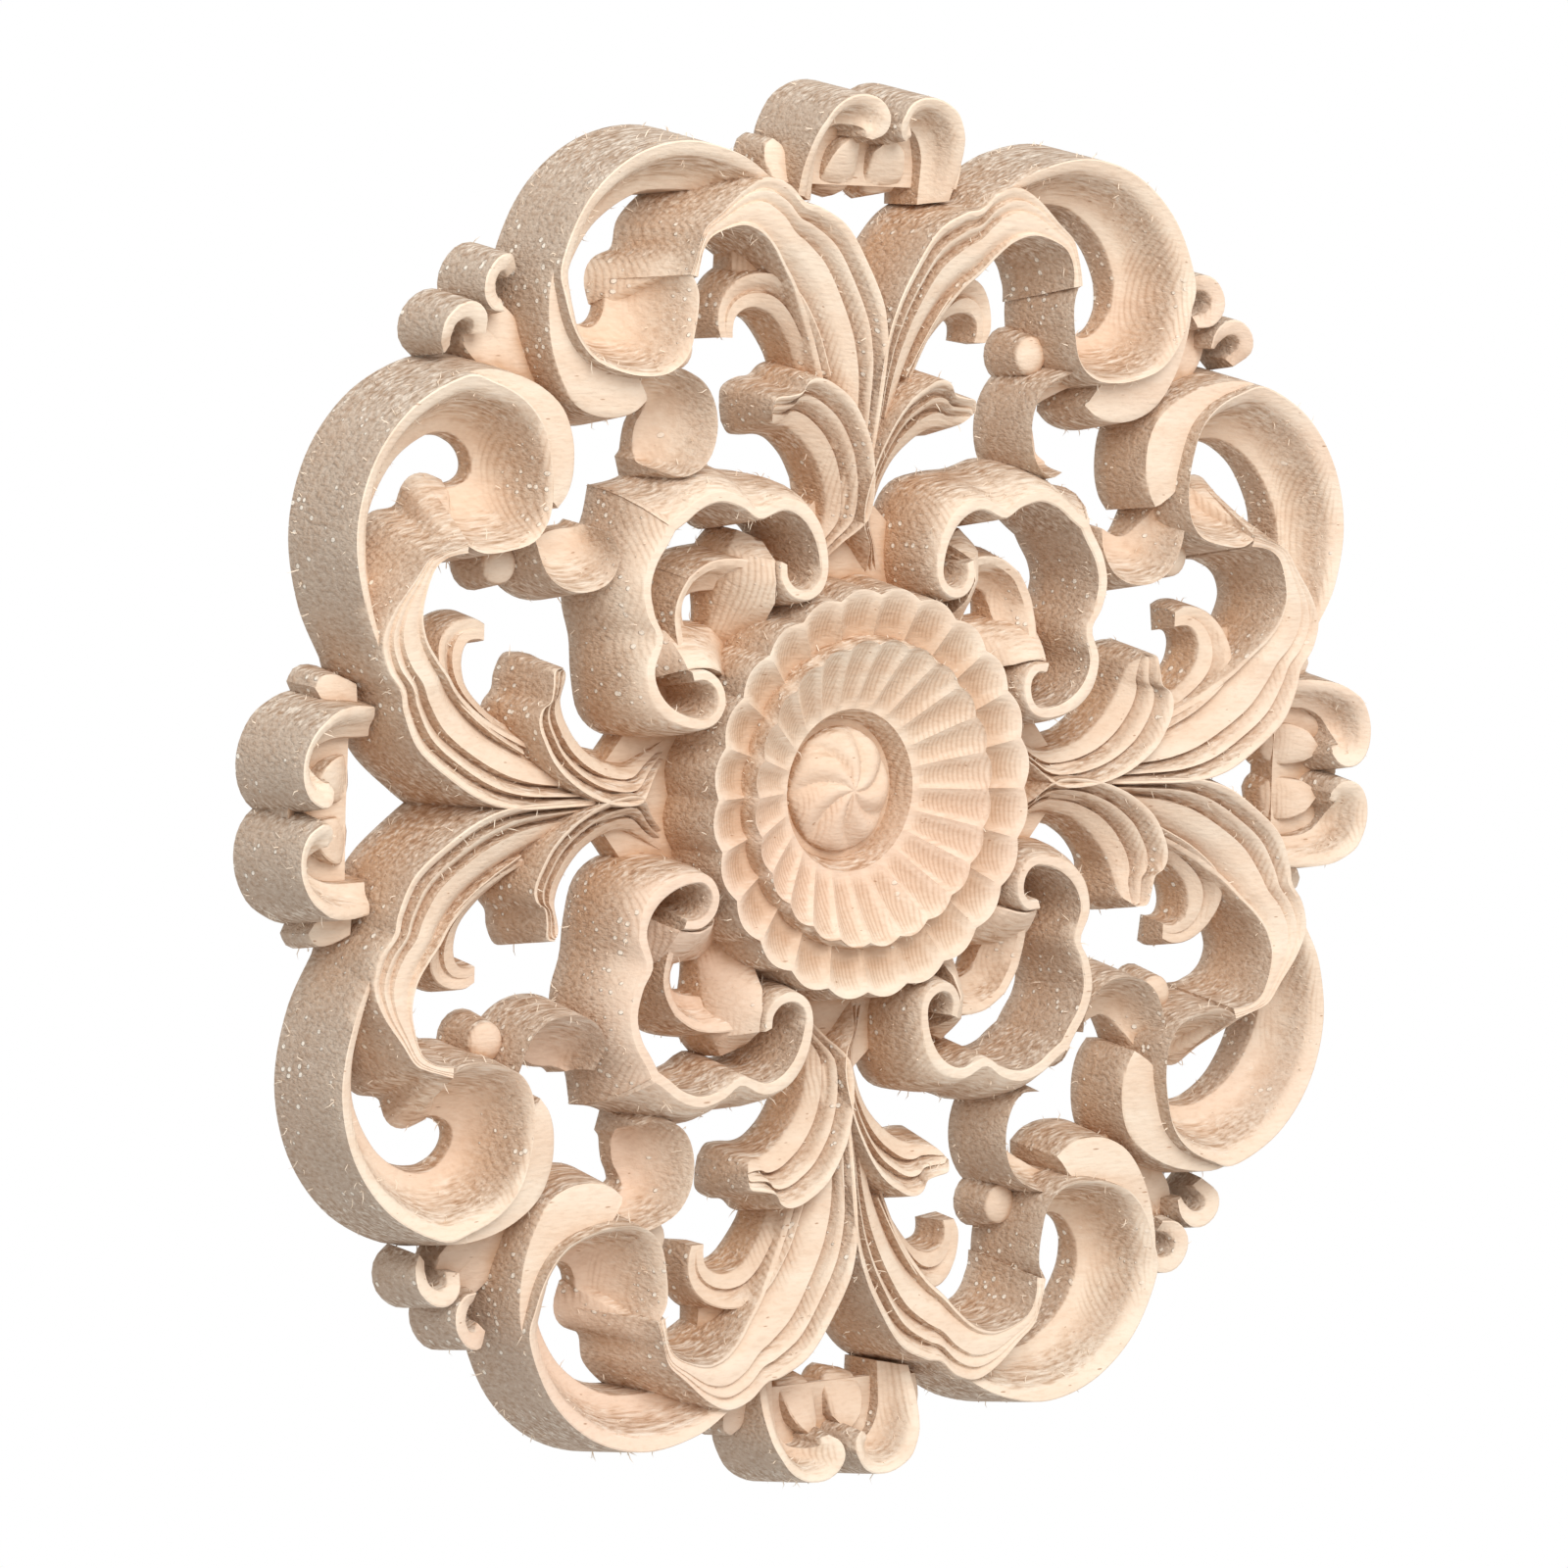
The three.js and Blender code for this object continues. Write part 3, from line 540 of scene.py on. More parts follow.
def node_group(name, inputs, outputs):
    """A shader node group with its sockets: every output is a number."""
    group = bpy.data.node_groups.new(name, "ShaderNodeTree")
    for label, kind, value in inputs:
        socket = group.interface.new_socket(label, in_out="INPUT", socket_type=kind)
        if value is not None:
            socket.default_value = value
    for label in outputs:
        group.interface.new_socket(label, in_out="OUTPUT", socket_type="NodeSocketFloat")
    entry, result = group.nodes.new("NodeGroupInput"), group.nodes.new("NodeGroupOutput")
    return group, Net(group), entry.outputs, result.inputs


class Net:
    """Short ways to add nodes to a tree and to link them."""

    def __init__(self, tree):
        self.tree = tree

    def put(self, socket, value):
        if isinstance(value, bpy.types.NodeSocket):
            self.tree.links.new(value, socket)
        elif value is not None:
            socket.default_value = value

    def node(self, kind, settings=None, **inputs):
        made = self.tree.nodes.new(kind)
        for key, value in (settings or {}).items():
            setattr(made, key, value)
        for key, value in inputs.items():
            self.put(made.inputs[key.replace("_", " ")], value)
        return made

    def math(self, operation, a, b=None):
        made = self.tree.nodes.new("ShaderNodeMath")
        made.operation = operation
        self.put(made.inputs[0], a)
        self.put(made.inputs[1], b)
        return made.outputs[0]

    def times(self, a, b):
        return self.math("MULTIPLY", a, b)

    def ramp(self, value, low, high, to_low=0.0, to_high=1.0):
        """A smooth step from low to high."""
        made = self.tree.nodes.new("ShaderNodeMapRange")
        made.interpolation_type = "SMOOTHSTEP"
        for key, number in zip(("From Min", "From Max", "To Min", "To Max"),
                               (low, high, to_low, to_high)):
            made.inputs[key].default_value = number
        self.put(made.inputs["Value"], value)
        return made.outputs["Result"]

    def mix(self, factor, a, b, blend="MIX"):
        made = self.tree.nodes.new("ShaderNodeMix")
        made.data_type = "RGBA"
        made.blend_type = blend
        self.put(made.inputs[0], factor)
        self.put(made.inputs[6], a)
        self.put(made.inputs[7], b)
        return made.outputs[2]

    def stretched(self, vector, scale):
        made = self.tree.nodes.new("ShaderNodeMapping")
        self.put(made.inputs["Vector"], vector)
        made.inputs["Scale"].default_value = scale
        return made.outputs["Vector"]

    def noise(self, vector, scale, detail):
        return self.node("ShaderNodeTexNoise", Vector=vector, Scale=scale, Detail=detail).outputs[0]

    def spots(self, vector, scale, chance, widest, edge):
        """Spots in the cells of a pattern, the larger the rarer, and none below the low chance."""
        cells = self.node("ShaderNodeTexVoronoi", Vector=vector, Scale=scale)
        luck = self.node("ShaderNodeSeparateColor", Color=cells.outputs["Color"])
        size = self.ramp(luck.outputs[0], *chance, 0.0, widest)
        return self.ramp(self.math("SUBTRACT", size, cells.outputs["Distance"]), -0.02, edge)


PLACE = ("Place", "NodeSocketVector", None)
CUTTER_PITCH = 0.31 * MM  # from one pass of the cutter to the next
VESSEL_BEND = 0.4 * MM    # how far the vessels wander from a straight line
# Stretch along X, Y and Z, scale per metre and detail of the wood's noises.
WOOD_NOISES = {
    "Bands": ((0.06, 1, 1), 420.0, 2.0),
    "Strands": ((0.12, 1, 1), 3600.0, 2.0),
    "Blotches": ((0.5, 1, 1), 36.0, 1.0),
    "Fuzz": ((0.3, 0.6, 1), 4200.0, 2.0),
    "Patches": ((1, 1, 1), 160.0, 1.0),
}


def facing_group():
    """Which way a face looks: along the grain, up or down, or square to the board."""
    group, net, entry, result = node_group("facing", [("Normal", "NodeSocketVector", None)],
                                           ["End grain", "Up or down", "Level", "Slope"])
    parts = net.node("ShaderNodeSeparateXYZ", Vector=entry["Normal"]).outputs
    along_x, level, along_z = (net.math("ABSOLUTE", part) for part in parts)
    net.put(result["End grain"], net.ramp(along_x, 0.45, 0.85))
    net.put(result["Up or down"], net.ramp(along_z, 0.5, 0.9))
    net.put(result["Level"], net.ramp(level, 0.12, 0.75))
    # Cutter marks show where the face leans sideways, but not on the steep walls.
    net.put(result["Slope"], net.times(net.ramp(along_x, 0.35, 0.7), net.ramp(level, 0.12, 0.4)))
    return group


def grain_group():
    """Vessels of the wood, as dots on end grain and dashes along the grain, and its noises."""
    group, net, entry, result = node_group("grain", [PLACE], ["Vessels", "Dashes", *WOOD_NOISES])
    place_ = entry["Place"]
    wobble = net.node("ShaderNodeTexNoise", Vector=place_, Scale=500.0, Detail=1.0)
    bent = net.node("ShaderNodeVectorMath", {"operation": "MULTIPLY_ADD"})
    bend = (0, VESSEL_BEND, VESSEL_BEND)
    for socket, value in zip(bent.inputs, (wobble.outputs["Color"], bend, place_)):
        net.put(socket, value)
    ends = net.stretched(bent.outputs[0], (0.16, 1, 1))
    net.put(result["Vessels"], net.spots(ends, 1500.0, (0.35, 0.95), 0.27, 0.05))
    sides = net.stretched(place_, (0.2, 1, 1))
    net.put(result["Dashes"], net.spots(sides, 2100.0, (0.45, 1.0), 0.15, 0.06))
    for label, (stretch, scale, detail) in WOOD_NOISES.items():
        net.put(result[label], net.noise(net.stretched(place_, stretch), scale, detail))
    return group


def cutter_group():
    """Fine ridges that the cutter leaves from pass to pass, one beside the other along X."""
    group, net, entry, result = node_group(
        "cutter_marks", [PLACE, ("Pitch", "NodeSocketFloat", CUTTER_PITCH)], ["Height"])
    shake = net.noise(entry["Place"], 900.0, 1.0)
    x = net.node("ShaderNodeSeparateXYZ", Vector=entry["Place"]).outputs[0]
    turns = net.math("ADD", net.math("DIVIDE", x, entry["Pitch"]), net.times(shake, 0.5))
    wave = net.math("SINE", net.times(turns, math.pi))
    net.put(result["Height"], net.math("ABSOLUTE", wave))
    return group


def rosette_group(sizes):
    """Where the rosette's petals are scooped, and its trough between the two rings."""
    group, net, entry, result = node_group("rosette_zones", [PLACE], ["Flutes", "Trough"])
    x, y, z = net.node("ShaderNodeSeparateXYZ", Vector=entry["Place"]).outputs
    radius = net.math("SQRT", net.math("ADD", net.times(x, x), net.times(z, z)))
    turn = net.times(net.math("ARCTAN2", x, z), sizes.petals / 2)
    wave = net.ramp(net.math("ABSOLUTE", net.math("SINE", turn)), 0.3, 0.8)

    def step(edge, low, high):
        """Rises outwards or inwards between two radii, in millimetres past an edge."""
        return net.ramp(radius, edge + low * MM, edge + high * MM)

    bowl = net.times(step(sizes.bowl_lip, 0.2, 1.2), step(sizes.inner_ring, 0, -0.8))
    ledge = net.times(step(sizes.inner_ring, 0.6, 1.4), step(sizes.outer_ring, -0.4, -1.2))
    carved = net.ramp(y, -1.0 * MM, -2.0 * MM)
    scooped = net.times(wave, net.math("ADD", bowl, ledge))
    net.put(result["Flutes"], net.times(carved, scooped))
    beyond = step(sizes.inner_ring, -0.2, 0.2)
    within = net.ramp(radius, sizes.outer_ring - 0.8 * MM, sizes.inner_ring + 1.2 * MM)
    net.put(result["Trough"], net.times(carved, net.times(beyond, within)))
    return group


# Heights of the fine texture: fuzz on faces and on walls, strands across faces and on those that
# look up or down, the cutter's ridges, and the dots of dust.
FUZZ_BUMP = (0.05 * MM, 0.22 * MM)
STRAND_BUMP = (0.05 * MM, 0.16 * MM)
PASS_BUMP = 0.03 * MM
DUST_BUMP = 0.09 * MM
STREAKS = 0.6             # strength of the streaks on faces that look up or down


def raw_wood(sizes):
    """Pale unfinished wood with its grain along X, with painted shade that browns the recesses and
    darkens the flutes, the cutter's valleys and, in part, the walls, and a painted highlight on the
    proud rims.
    """
    material = bpy.data.materials.new("raw_wood")
    material.use_nodes = True
    tree = material.node_tree
    net = Net(tree)
    shader = tree.nodes["Principled BSDF"]
    shader.inputs["Roughness"].default_value = 0.82
    shader.inputs["Specular IOR Level"].default_value = 0.25
    normal = net.node("ShaderNodeNewGeometry").outputs["Normal"]
    place_ = net.node("ShaderNodeTexCoord").outputs["Object"]
    facing = net.node("ShaderNodeGroup", {"node_tree": facing_group()}, Normal=normal).outputs
    grain, cutter, zones = (net.node("ShaderNodeGroup", {"node_tree": group}, Place=place_).outputs
                            for group in (grain_group(), cutter_group(), rosette_group(sizes)))
    # Masks of painted shade in the recesses and small hollows, and of a painted highlight on the
    # proud rims.
    recess_shade, pocket_shade, rim = (net.node("ShaderNodeAttribute", {"attribute_name": name}).outputs["Fac"]
                           for name in ("recess_shade", "pocket_shade", "rim"))
    flutes, end_grain, level = zones["Flutes"], facing["End grain"], facing["Level"]
    steep = net.math("SUBTRACT", 1.0, level)
    dust = net.times(grain["Vessels"], end_grain)
    streaked = net.times(facing["Up or down"], STREAKS)
    marked = net.times(facing["Slope"], net.ramp(grain["Patches"], 0.4, 0.6))
    marked = net.math("MAXIMUM", marked, flutes)
    passes = net.times(cutter["Height"], marked)
    cutter_valley_shade = net.math("SUBTRACT", marked, passes)

    colour = net.mix(net.ramp(grain["Bands"], 0.35, 0.7), sizes.pale, sizes.cream_and_rim_highlight)
    # What tints the wood, from the lowest layer up: a mask, its colour, and how the two mix.
    for mask, tint, blend in (
            (net.ramp(grain["Blotches"], 0.5, 0.72), sizes.pink, "MIX"),
            # Every steep wall is painted darker: partly the wood's own tan end grain, partly
            # painted shade.
            (net.times(steep, 0.85), sizes.tan, "MIX"),
            # Painted shade: recesses and small hollows are browned where shade falls, more on walls
            # than on faces.
            (net.times(recess_shade, net.ramp(level, 0.0, 0.9, 0.95, 0.35)), sizes.painted_shade_brown, "MIX"),
            (net.times(pocket_shade, net.ramp(level, 0.0, 0.5, 0.1, 0.85)), sizes.painted_shade_brown, "MIX"),
            # Painted shade in the trough between the rosette's rings.
            (net.times(zones["Trough"], 0.5), sizes.painted_shade_brown, "MIX"),
            # Painted shade in the rosette's flutes.
            (net.times(flutes, 0.24), sizes.shade, "MULTIPLY"),
            # Torn grain and lint: mottled on the walls, faint on the faces.
            (net.times(net.ramp(grain["Fuzz"], 0.5, 0.68),
                       net.ramp(steep, 0.0, 0.8, 0.12, 0.36)), sizes.shade, "MULTIPLY"),
            (net.times(net.ramp(grain["Fuzz"], 0.47, 0.3),
                       net.ramp(steep, 0.0, 0.8, 0.1, 0.18)), sizes.dust, "MIX"),
            (dust, sizes.dust, "MIX"),
            (net.times(grain["Dashes"],
                       net.ramp(end_grain, 0.0, 0.5, 0.75, 0.0)), sizes.pore, "MIX"),
            (net.times(net.ramp(grain["Strands"], 0.5, 0.7), streaked), sizes.dust, "MIX"),
            (net.times(net.ramp(grain["Strands"], 0.48, 0.34), streaked), sizes.shade, "MULTIPLY"),
            # Painted shade in the low ground between the cutter's passes.
            (net.times(cutter_valley_shade, 0.38), sizes.shade, "MULTIPLY"),
            # Painted highlight on the proud rims.
            (net.times(rim, 0.7), sizes.cream_and_rim_highlight, "MIX")):
        colour = net.mix(mask, colour, tint, blend)
    net.put(shader.inputs["Base Color"], colour)

    height = net.times(grain["Fuzz"], net.ramp(steep, 0.0, 0.8, *FUZZ_BUMP))
    threads = net.times(grain["Strands"], net.ramp(facing["Up or down"], 0.0, 1.0, *STRAND_BUMP))
    for part in (threads, net.times(passes, PASS_BUMP), net.times(dust, DUST_BUMP)):
        height = net.math("ADD", height, part)
    bump = net.node("ShaderNodeBump", Height=height, Distance=1.0, Strength=1.0)
    net.put(shader.inputs["Normal"], bump.outputs["Normal"])
    return material


def blurred(field, spread):
    """The field smoothed with a round bell of the given spread in cells."""
    rows, columns = (np.fft.fftfreq(n)[:, None] for n in field.shape)
    bell = np.exp(-2 * (math.pi * spread) ** 2 * (rows**2 + columns.T**2))
    return np.real(np.fft.ifft2(np.fft.fft2(field) * bell))


def read_all(items, name, width):
    """One property of all vertices or faces, as rows of an array."""
    values = np.empty(len(items) * width)
    items.foreach_get(name, values)
    return values.reshape(-1, width)


DEPTH_CELL = 0.3 * MM     # cells of the grid of heights
DEPTH_SPAN = 2.4          # width of that grid in design radii
DEPTH_BLURS = (6.0 * MM, 0.6 * MM, 0.45 * MM)     # surroundings: wide, small and near
CARVED_FROM = 0.02        # the flat back, below this share of the thickness, stays plain


def paint_depths(mesh, sizes):
    """Masks on the vertices for painted light: shade deep among higher carving and in a small
    hollow, a highlight on a proud edge.
    """
    thickness = sizes.board_thickness
    co = read_all(mesh.vertices, "co", 3)
    side = int(DEPTH_SPAN * sizes.design_radius / DEPTH_CELL)
    at = tuple(np.clip((co[:, k] / DEPTH_CELL + side / 2).astype(int), 0, side - 1) for k in (0, 2))
    height = -co[:, 1]
    field = np.zeros((side, side))
    np.maximum.at(field, at, height)
    spread = np.max([np.roll(field, shift, axis) for axis in (0, 1) for shift in (-1, 1)], axis=0)
    field = np.where(field > 0, field, spread)
    share = height / thickness
    wide, small, near = (blurred(field, reach / DEPTH_CELL)[at] / thickness
                         for reach in DEPTH_BLURS)
    carved = share > CARVED_FROM
    # Each mask rises with a difference of heights, in shares of the thickness.
    masks = {
        # The first two masks paint shade deep among higher carving and in small hollows; the last
        # paints a highlight on proud edges.
        "recess_shade": np.clip((wide - 0.34) / 0.16, 0, 1) * np.clip(1.15 - share, 0, 1) * carved,
        "pocket_shade": np.clip((small - share) * 6 - 0.1, 0, 1) * carved,
        "rim": np.clip((share - near) * 3 - 0.25, 0, 1),
    }
    for name, values in masks.items():
        layer = mesh.attributes.new(name, "FLOAT", "POINT")
        layer.data.foreach_set("value", values.astype(np.float32))


# Torn fibres

WALL_SLOPE = 0.6          # a face leans less towards the front than this where it is a wall
WALL_ODDS, FOOT_ODDS, TOP_ODDS = 0.2, 1.6, 1.0    # fibres on any wall, more at its foot and top
FOOT_END, TOP_START = 0.15, 0.75                  # as shares of the thickness
FIBRE_LENGTHS = (0.3, 1.0)    # as shares of the longest, before the bias
FIBRE_BIAS = 1.5          # above 1 there are more short ones
FIBRE_LEAN = 0.7          # scatter of a fibre's direction about the normal of its wall
FIBRE_CURL = 0.9          # scatter of its outer stretch about the first
FIBRE_KNEE = 0.55         # where it bends, as a share of its length
FIBRE_WAIST = 0.8         # its width there, as a share of the width at the root


def fibre_roots(mesh, sizes, chance):
    """Places and normals on the walls where fibres stay: most near the upper and lower edges."""
    centre, normal = read_all(mesh.polygons, "center", 3), read_all(mesh.polygons, "normal", 3)
    area = read_all(mesh.polygons, "area", 1)[:, 0]
    share = -centre[:, 1] / sizes.board_thickness
    odds = WALL_ODDS + FOOT_ODDS * (share < FOOT_END) + TOP_ODDS * (share > TOP_START)
    weight = area * (np.abs(normal[:, 1]) < WALL_SLOPE) * odds
    chosen = chance.choice(len(area), sizes.fibres, p=weight / weight.sum())
    return centre[chosen], normal[chosen]


def fibres(mesh, sizes):
    """Short bent hairs that stand off the walls, each a closed three-sided spike."""
    chance = np.random.default_rng(sizes.fibre_seed)
    root, normal = fibre_roots(mesh, sizes, chance)
    n = len(root)
    length = sizes.fibre_length * chance.uniform(*FIBRE_LENGTHS, (n, 1)) ** FIBRE_BIAS
    first = unit(normal + FIBRE_LEAN * chance.normal(size=(n, 3)))
    second = unit(first + FIBRE_CURL * chance.normal(size=(n, 3)))
    root = root - normal * sizes.fibre_width
    middle = root + first * length * FIBRE_KNEE
    tip = middle + second * length * (1 - FIBRE_KNEE)
    # Fibres that would leave the box of the solid are left out.
    inside = (tip[:, 1] < 0) & (tip[:, 1] > -THICKNESS) & (middle[:, 1] < -sizes.fibre_width)
    for end in (tip, middle):
        inside &= np.abs(end[:, [0, 2]]).max(1) < HALF_WIDTH
    root, middle, tip, first = (rows[inside] for rows in (root, middle, tip, first))
    side = unit(np.cross(first, chance.normal(size=first.shape))) * sizes.fibre_width / 2
    other = np.cross(first, side)
    rows = []
    for base, size in ((root, 1.0), (middle, FIBRE_WAIST)):
        for angle in np.arange(3) * 2 * math.pi / 3:
            rows.append(base + size * (side * math.cos(angle) + other * math.sin(angle)))
    rows.append(tip)
    places = np.stack(rows, 1).reshape(-1, 3)
    spike = [(2, 1, 0)] + [(k, (k + 1) % 3, 3 + (k + 1) % 3, 3 + k) for k in range(3)]
    spike += [(3 + k, 3 + (k + 1) % 3, 6) for k in range(3)]
    faces = [tuple(7 * i + corner for corner in face) for i in range(len(tip)) for face in spike]
    return mesh_object("torn_fibres", places, faces)


def lint_material(sizes):
    """Loose ends of the same wood."""
    material = bpy.data.materials.new("torn_fibres")
    material.use_nodes = True
    shader = material.node_tree.nodes["Principled BSDF"]
    shader.inputs["Base Color"].default_value = sizes.cream_and_rim_highlight
    shader.inputs["Roughness"].default_value = 0.9
    return material


# Add-on

def metres(name, description, default):
    return bpy.props.FloatProperty(name=name, description=description, default=default,
                                   unit="LENGTH")


def paint(name, description, default):
    return bpy.props.FloatVectorProperty(name=name, description=description,
                                         default=(*default, 1), size=4, subtype="COLOR")


class CarvingSizes(bpy.types.PropertyGroup):
    design_radius: metres("Design radius", "Centre to the front edge of a knot",
                          HALF_WIDTH / KNOT_REACH)
    board_thickness: metres("Board thickness", "Back to the scroll rims", THICKNESS)
    wall_taper: bpy.props.FloatProperty(
        name="Wall taper", description="Run of a carved wall per unit of its depth", default=0.16)
    petals: bpy.props.IntProperty(
        name="Petals", description="Scallops on each ring of the rosette", default=24)
    outer_ring: metres("Outer ring", "Radius of the rosette", 14.6 * MM)
    inner_ring: metres("Inner ring", "Radius of the inner ring", 10.95 * MM)
    scallop_depth: metres("Scallop depth", "How far a scallop stands out", 0.5 * MM)
    ring_well: metres("Ring well", "Depth of the trough between the rings", 1.4 * MM)
    bowl_depth: metres("Bowl depth", "Rim of the inner ring to the lip of the cup", 2.8 * MM)
    bowl_lip: metres("Cup radius", "Radius of the lip of the cup", 5.8 * MM)
    cup_depth: metres("Cup depth", "Lip to floor of the cup", 1.6 * MM)
    cup_floor: metres("Cup floor", "Radius of the cup's floor", 5.0 * MM)
    button_radius: metres("Button radius", "Radius of the button", 4.5 * MM)
    button_rise: metres("Button rise", "Height of the button", 2.1 * MM)
    flute_depth: metres("Flute depth", "Depth of the bowl's flutes", 0.45 * MM)
    edge_ease: metres("Edge ease", "Rounding of the carved edges", 0.14 * MM)
    mesh_step: metres("Mesh step", "Spacing of the mesh on carved faces", 0.47 * MM)
    wall_rows: bpy.props.IntProperty(
        name="Wall rows", description="Rows of mesh on a wall", default=4)
    fibres: bpy.props.IntProperty(
        name="Fibres", description="Torn fibres left on the walls", default=3600)
    fibre_length: metres("Fibre length", "Longest fibre", 1.1 * MM)
    fibre_width: metres("Fibre width", "Width of a fibre at its root", 0.09 * MM)
    fibre_seed: bpy.props.IntProperty(
        name="Fibre seed", description="Chooses another scatter of fibres", default=7)
    pale: paint("Pale wood", "Slow bands of the grain", (0.87, 0.69, 0.535))
    # Besides the bands and the fibres, this cream paints a highlight on the proud rims.
    cream_and_rim_highlight: paint("Cream wood", "Bands between them, worn rims and fibres", (0.92, 0.78, 0.63))
    pink: paint("Pink wood", "Wide faint blotches", (0.87, 0.65, 0.505))
    # Used on every steep wall: partly the end grain's own tan, partly painted shade.
    tan: paint("End grain", "Steep walls", (0.48, 0.37, 0.285))
    # The brown of painted shade in the recesses, the small hollows and the rosette's trough.
    painted_shade_brown: paint("Recesses", "Deep and small hollows", (0.60, 0.365, 0.215))
    pore: paint("Pores", "Dashes along the grain", (0.42, 0.22, 0.12))
    # Besides the darker tone of torn grain and of gaps between strands, this colour paints shade
    # into the flutes and the cutter's valleys.
    shade: paint("Shade", "Darkens torn grain and cutter marks", (0.60, 0.44, 0.31))
    dust: paint("Dust", "Lint, pale dots and strands", (0.97, 0.88, 0.76))


SHARP_ANGLE = math.radians(38)


class APPLIQUE_OT_carving(bpy.types.Operator):
    """Carve the relief as one solid"""
    bl_idname = "applique.carving"
    bl_label = "Carved relief"

    def execute(self, context):
        sizes = context.scene.carving_sizes
        relief = whole_relief(sizes)
        relief.name = "carved_relief"
        relief.data.name = "carved_relief"
        relief.data.shade_smooth()
        relief.data.set_sharp_from_angle(angle=SHARP_ANGLE)
        paint_depths(relief.data, sizes)
        relief.data.materials.clear()
        relief.data.materials.append(raw_wood(sizes))
        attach(relief, "root")
        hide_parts(NODE)
        return {"FINISHED"}


class APPLIQUE_OT_fibres(bpy.types.Operator):
    """Leave torn fibres on the walls of the relief"""
    bl_idname = "applique.fibres"
    bl_label = "Torn fibres"

    def execute(self, context):
        relief = context.scene.objects.get("carved_relief")
        if relief is None:
            raise RuntimeError("The relief has to be carved first")
        sizes = context.scene.carving_sizes
        hairs = fibres(relief.data, sizes)
        hairs.data.materials.append(lint_material(sizes))
        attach(hairs, "root")
        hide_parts(NODE)
        return {"FINISHED"}


# The studio: a floor that runs up into a backdrop, an even world and one lamp near the relief.
FLOOR_HALF, FLOOR_FRONT, FLOOR_HEIGHT = 3.0, -1.5, -0.3
BACKDROP_FROM, BACKDROP_BEND, BACKDROP_TOP = 0.9, 0.6, 2.5
WORLD_COLOUR, WORLD_STRENGTH = (1, 0.99, 0.98, 1), 0.72
KEY_PLACE, KEY_SIZE = (-0.1, -0.33, 0.28), 0.25
KEY_POWER, KEY_COLOUR = 1.32, (1, 0.985, 0.965)


def studio_white():
    """An even white, whatever the lamps do."""
    material = bpy.data.materials.new("studio_white")
    material.use_nodes = True
    tree = material.node_tree
    tree.nodes.remove(tree.nodes["Principled BSDF"])
    light = tree.nodes.new("ShaderNodeEmission")
    light.inputs["Color"].default_value = (1, 1, 1, 1)
    light.inputs["Strength"].default_value = 1.0
    tree.links.new(light.outputs[0], tree.nodes["Material Output"].inputs["Surface"])
    return material


def sweep():
    """A pale floor that runs up into a backdrop in one curve."""
    profile = [(FLOOR_FRONT, FLOOR_HEIGHT), (BACKDROP_FROM, FLOOR_HEIGHT)]
    profile += [(BACKDROP_FROM + BACKDROP_BEND * math.sin(a),
                 FLOOR_HEIGHT + BACKDROP_BEND * (1 - math.cos(a)))
                for a in np.linspace(0.1, math.pi / 2, 12)]
    profile.append((BACKDROP_FROM + BACKDROP_BEND, BACKDROP_TOP))
    places = [(x, y, z) for y, z in profile for x in (-FLOOR_HALF, FLOOR_HALF)]
    faces = [(2 * k, 2 * k + 1, 2 * k + 3, 2 * k + 2) for k in range(len(profile) - 1)]
    floor = mesh_object("floor", places, faces)
    floor.data.materials.append(studio_white())
    floor.visible_diffuse = False
    floor.visible_glossy = False


def key_light(scene):
    """A square lamp that faces the relief."""
    lamp = bpy.data.lights.new("key", "AREA")
    lamp.size = KEY_SIZE
    lamp.energy = KEY_POWER
    lamp.color = KEY_COLOUR
    holder = bpy.data.objects.new("key", lamp)
    holder.location = KEY_PLACE
    holder.rotation_euler = Vector(KEY_PLACE).to_track_quat("Z", "Y").to_euler()
    scene.collection.objects.link(holder)


class APPLIQUE_OT_stage(bpy.types.Operator):
    """Set up the pale floor, the soft light and the camera"""
    bl_idname = "applique.stage"
    bl_label = "Studio"

    def execute(self, context):
        scene = context.scene
        scene.view_settings.view_transform = "Standard"
        world = bpy.data.worlds.new("studio")
        world.use_nodes = True
        background = world.node_tree.nodes["Background"]
        background.inputs["Color"].default_value = WORLD_COLOUR
        background.inputs["Strength"].default_value = WORLD_STRENGTH
        scene.world = world
        sweep()
        key_light(scene)
        add_camera(scene)
        return {"FINISHED"}


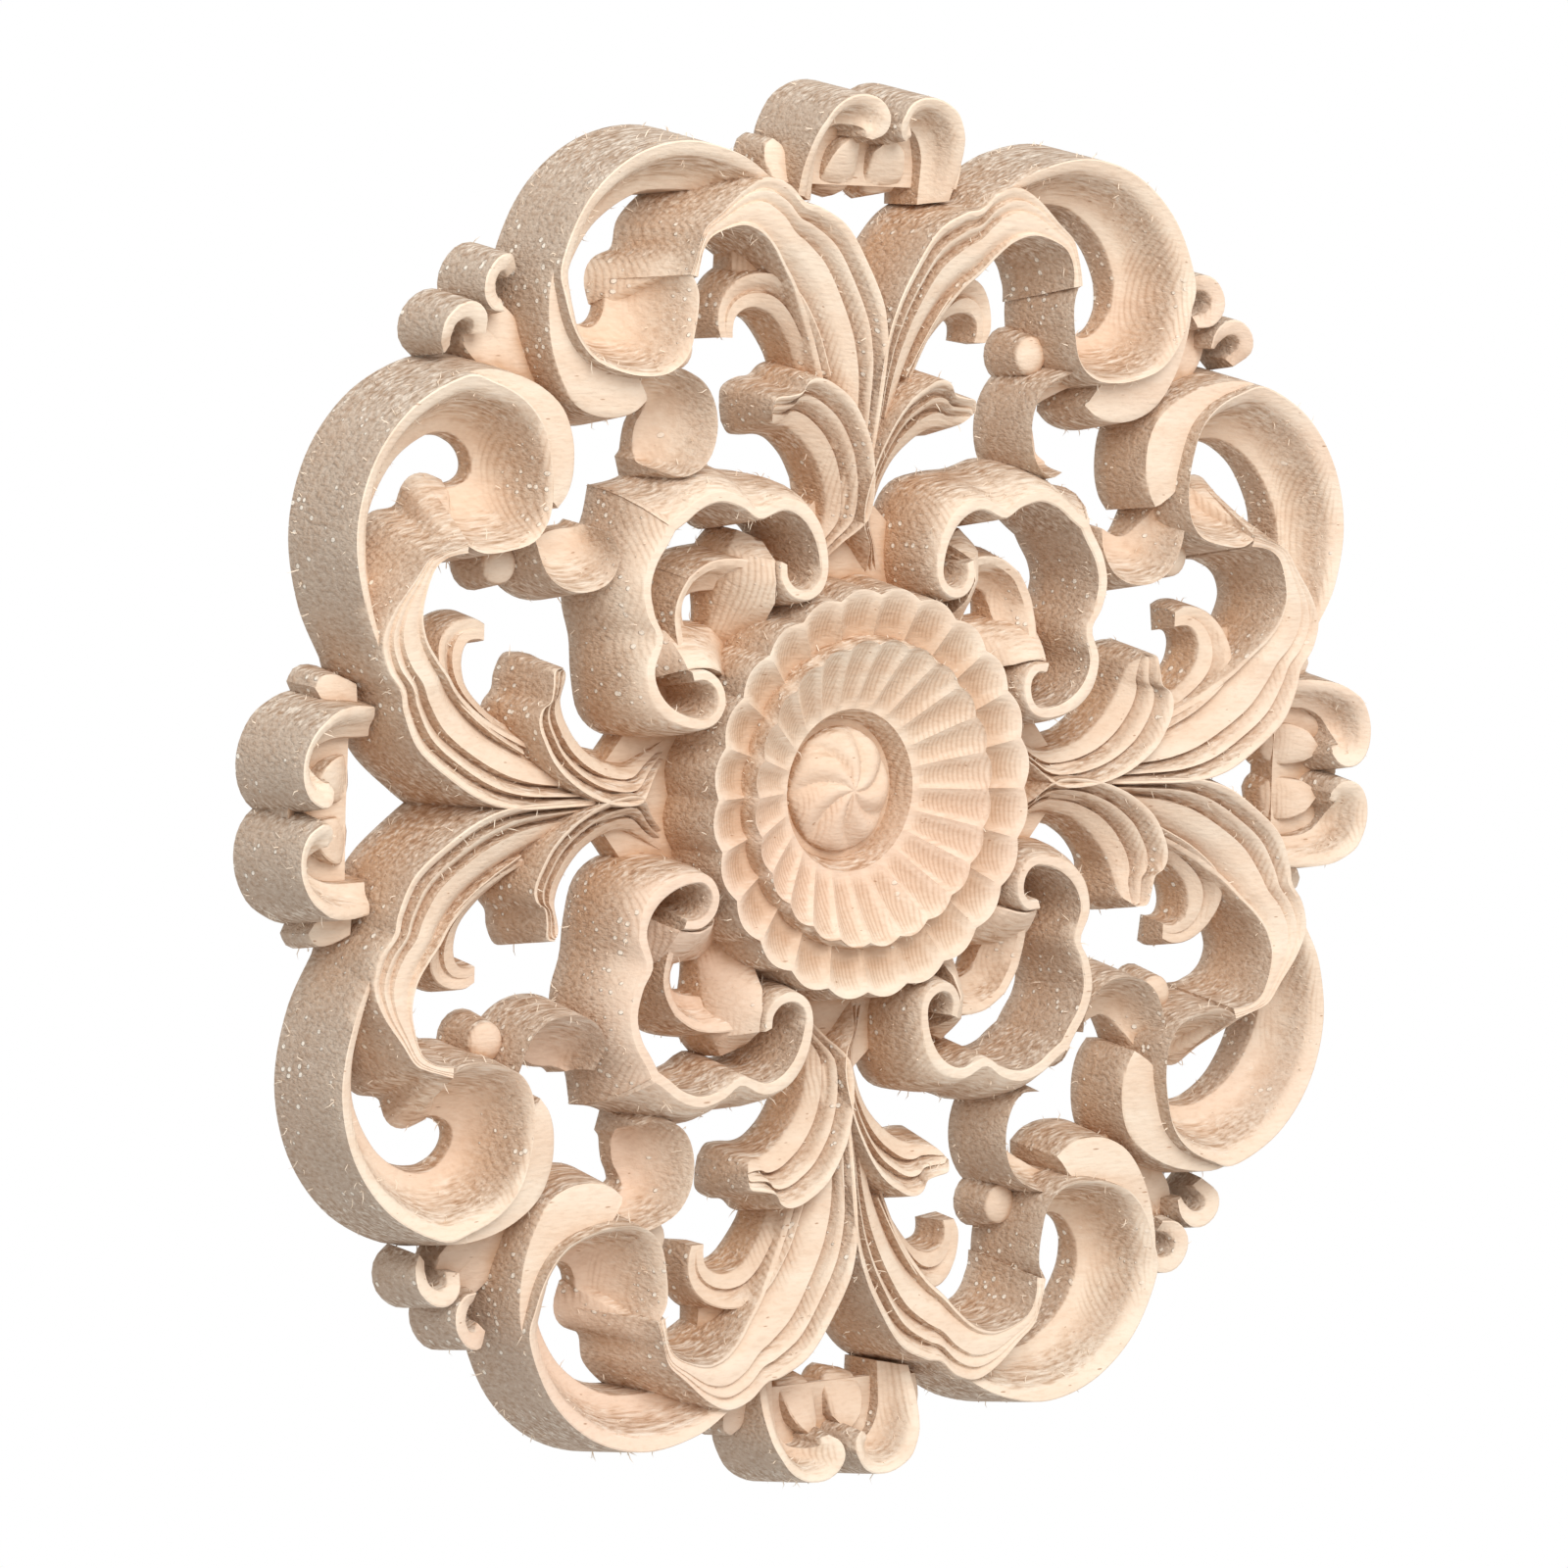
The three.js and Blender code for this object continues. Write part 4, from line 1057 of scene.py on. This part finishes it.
# The camera of the photograph, found from the design's symmetry: turns about X, Y and Z in
# degrees, sideways shifts and distance in design radii, and focal length in image widths.
CAMERA_TURNS = (5.090, 39.438, -1.891)
CAMERA_SHIFT = (0.01648, 0.00174)
CAMERA_DISTANCE = 8.80824
CAMERA_FOCAL = 3.83614
BACK_PLANE = 0.05         # height of the back in the camera's own frame, in design radii
SENSOR = 36               # the usual sensor width, in millimetres


def add_camera(scene):
    sizes = scene.carving_sizes
    rx, ry, rz = (math.radians(a) for a in CAMERA_TURNS)
    turn = Matrix.Rotation(rz, 3, "Z") @ Matrix.Rotation(rx, 3, "X") @ Matrix.Rotation(ry, 3, "Y")
    eye = turn.transposed() @ Vector((-CAMERA_SHIFT[0], -CAMERA_SHIFT[1], CAMERA_DISTANCE))
    # From the drawing's frame (x right, y up, z out of the front) to the row frame.
    swap = Matrix(((1, 0, 0), (0, 0, -1), (0, 1, 0)))
    eye = swap @ (eye - Vector((0, 0, BACK_PLANE)))
    camera = bpy.data.objects.new("camera", bpy.data.cameras.new("camera"))
    scene.collection.objects.link(camera)
    rotation = (swap @ turn.transposed()).to_4x4()
    camera.matrix_world = Matrix.Translation(eye * sizes.design_radius) @ rotation
    camera.data.sensor_width = SENSOR
    camera.data.lens = CAMERA_FOCAL * SENSOR
    camera.data.clip_start = 0.01
    camera.data.clip_end = 20
    scene.camera = camera


class APPLIQUE_PT_panel(bpy.types.Panel):
    bl_idname = "APPLIQUE_PT_panel"
    bl_label = "Carved applique"
    bl_space_type = "VIEW_3D"
    bl_region_type = "UI"
    bl_category = "Applique"

    def draw(self, context):
        sizes = context.scene.carving_sizes
        for name in sizes.__annotations__:
            self.layout.prop(sizes, name)
        for operator in OPERATORS:
            self.layout.operator(operator.bl_idname)


OPERATORS = (APPLIQUE_OT_carving, APPLIQUE_OT_fibres, APPLIQUE_OT_stage)
CLASSES = (CarvingSizes, *OPERATORS, APPLIQUE_PT_panel)


def register():
    for cls in CLASSES:
        bpy.utils.register_class(cls)
    bpy.types.Scene.carving_sizes = bpy.props.PointerProperty(type=CarvingSizes)


def unregister():
    del bpy.types.Scene.carving_sizes
    for cls in reversed(CLASSES):
        bpy.utils.unregister_class(cls)


def main():
    register()
    bpy.ops.applique.carving()
    bpy.ops.applique.fibres()
    bpy.ops.applique.stage()


if __name__ == "__main__":
    main()
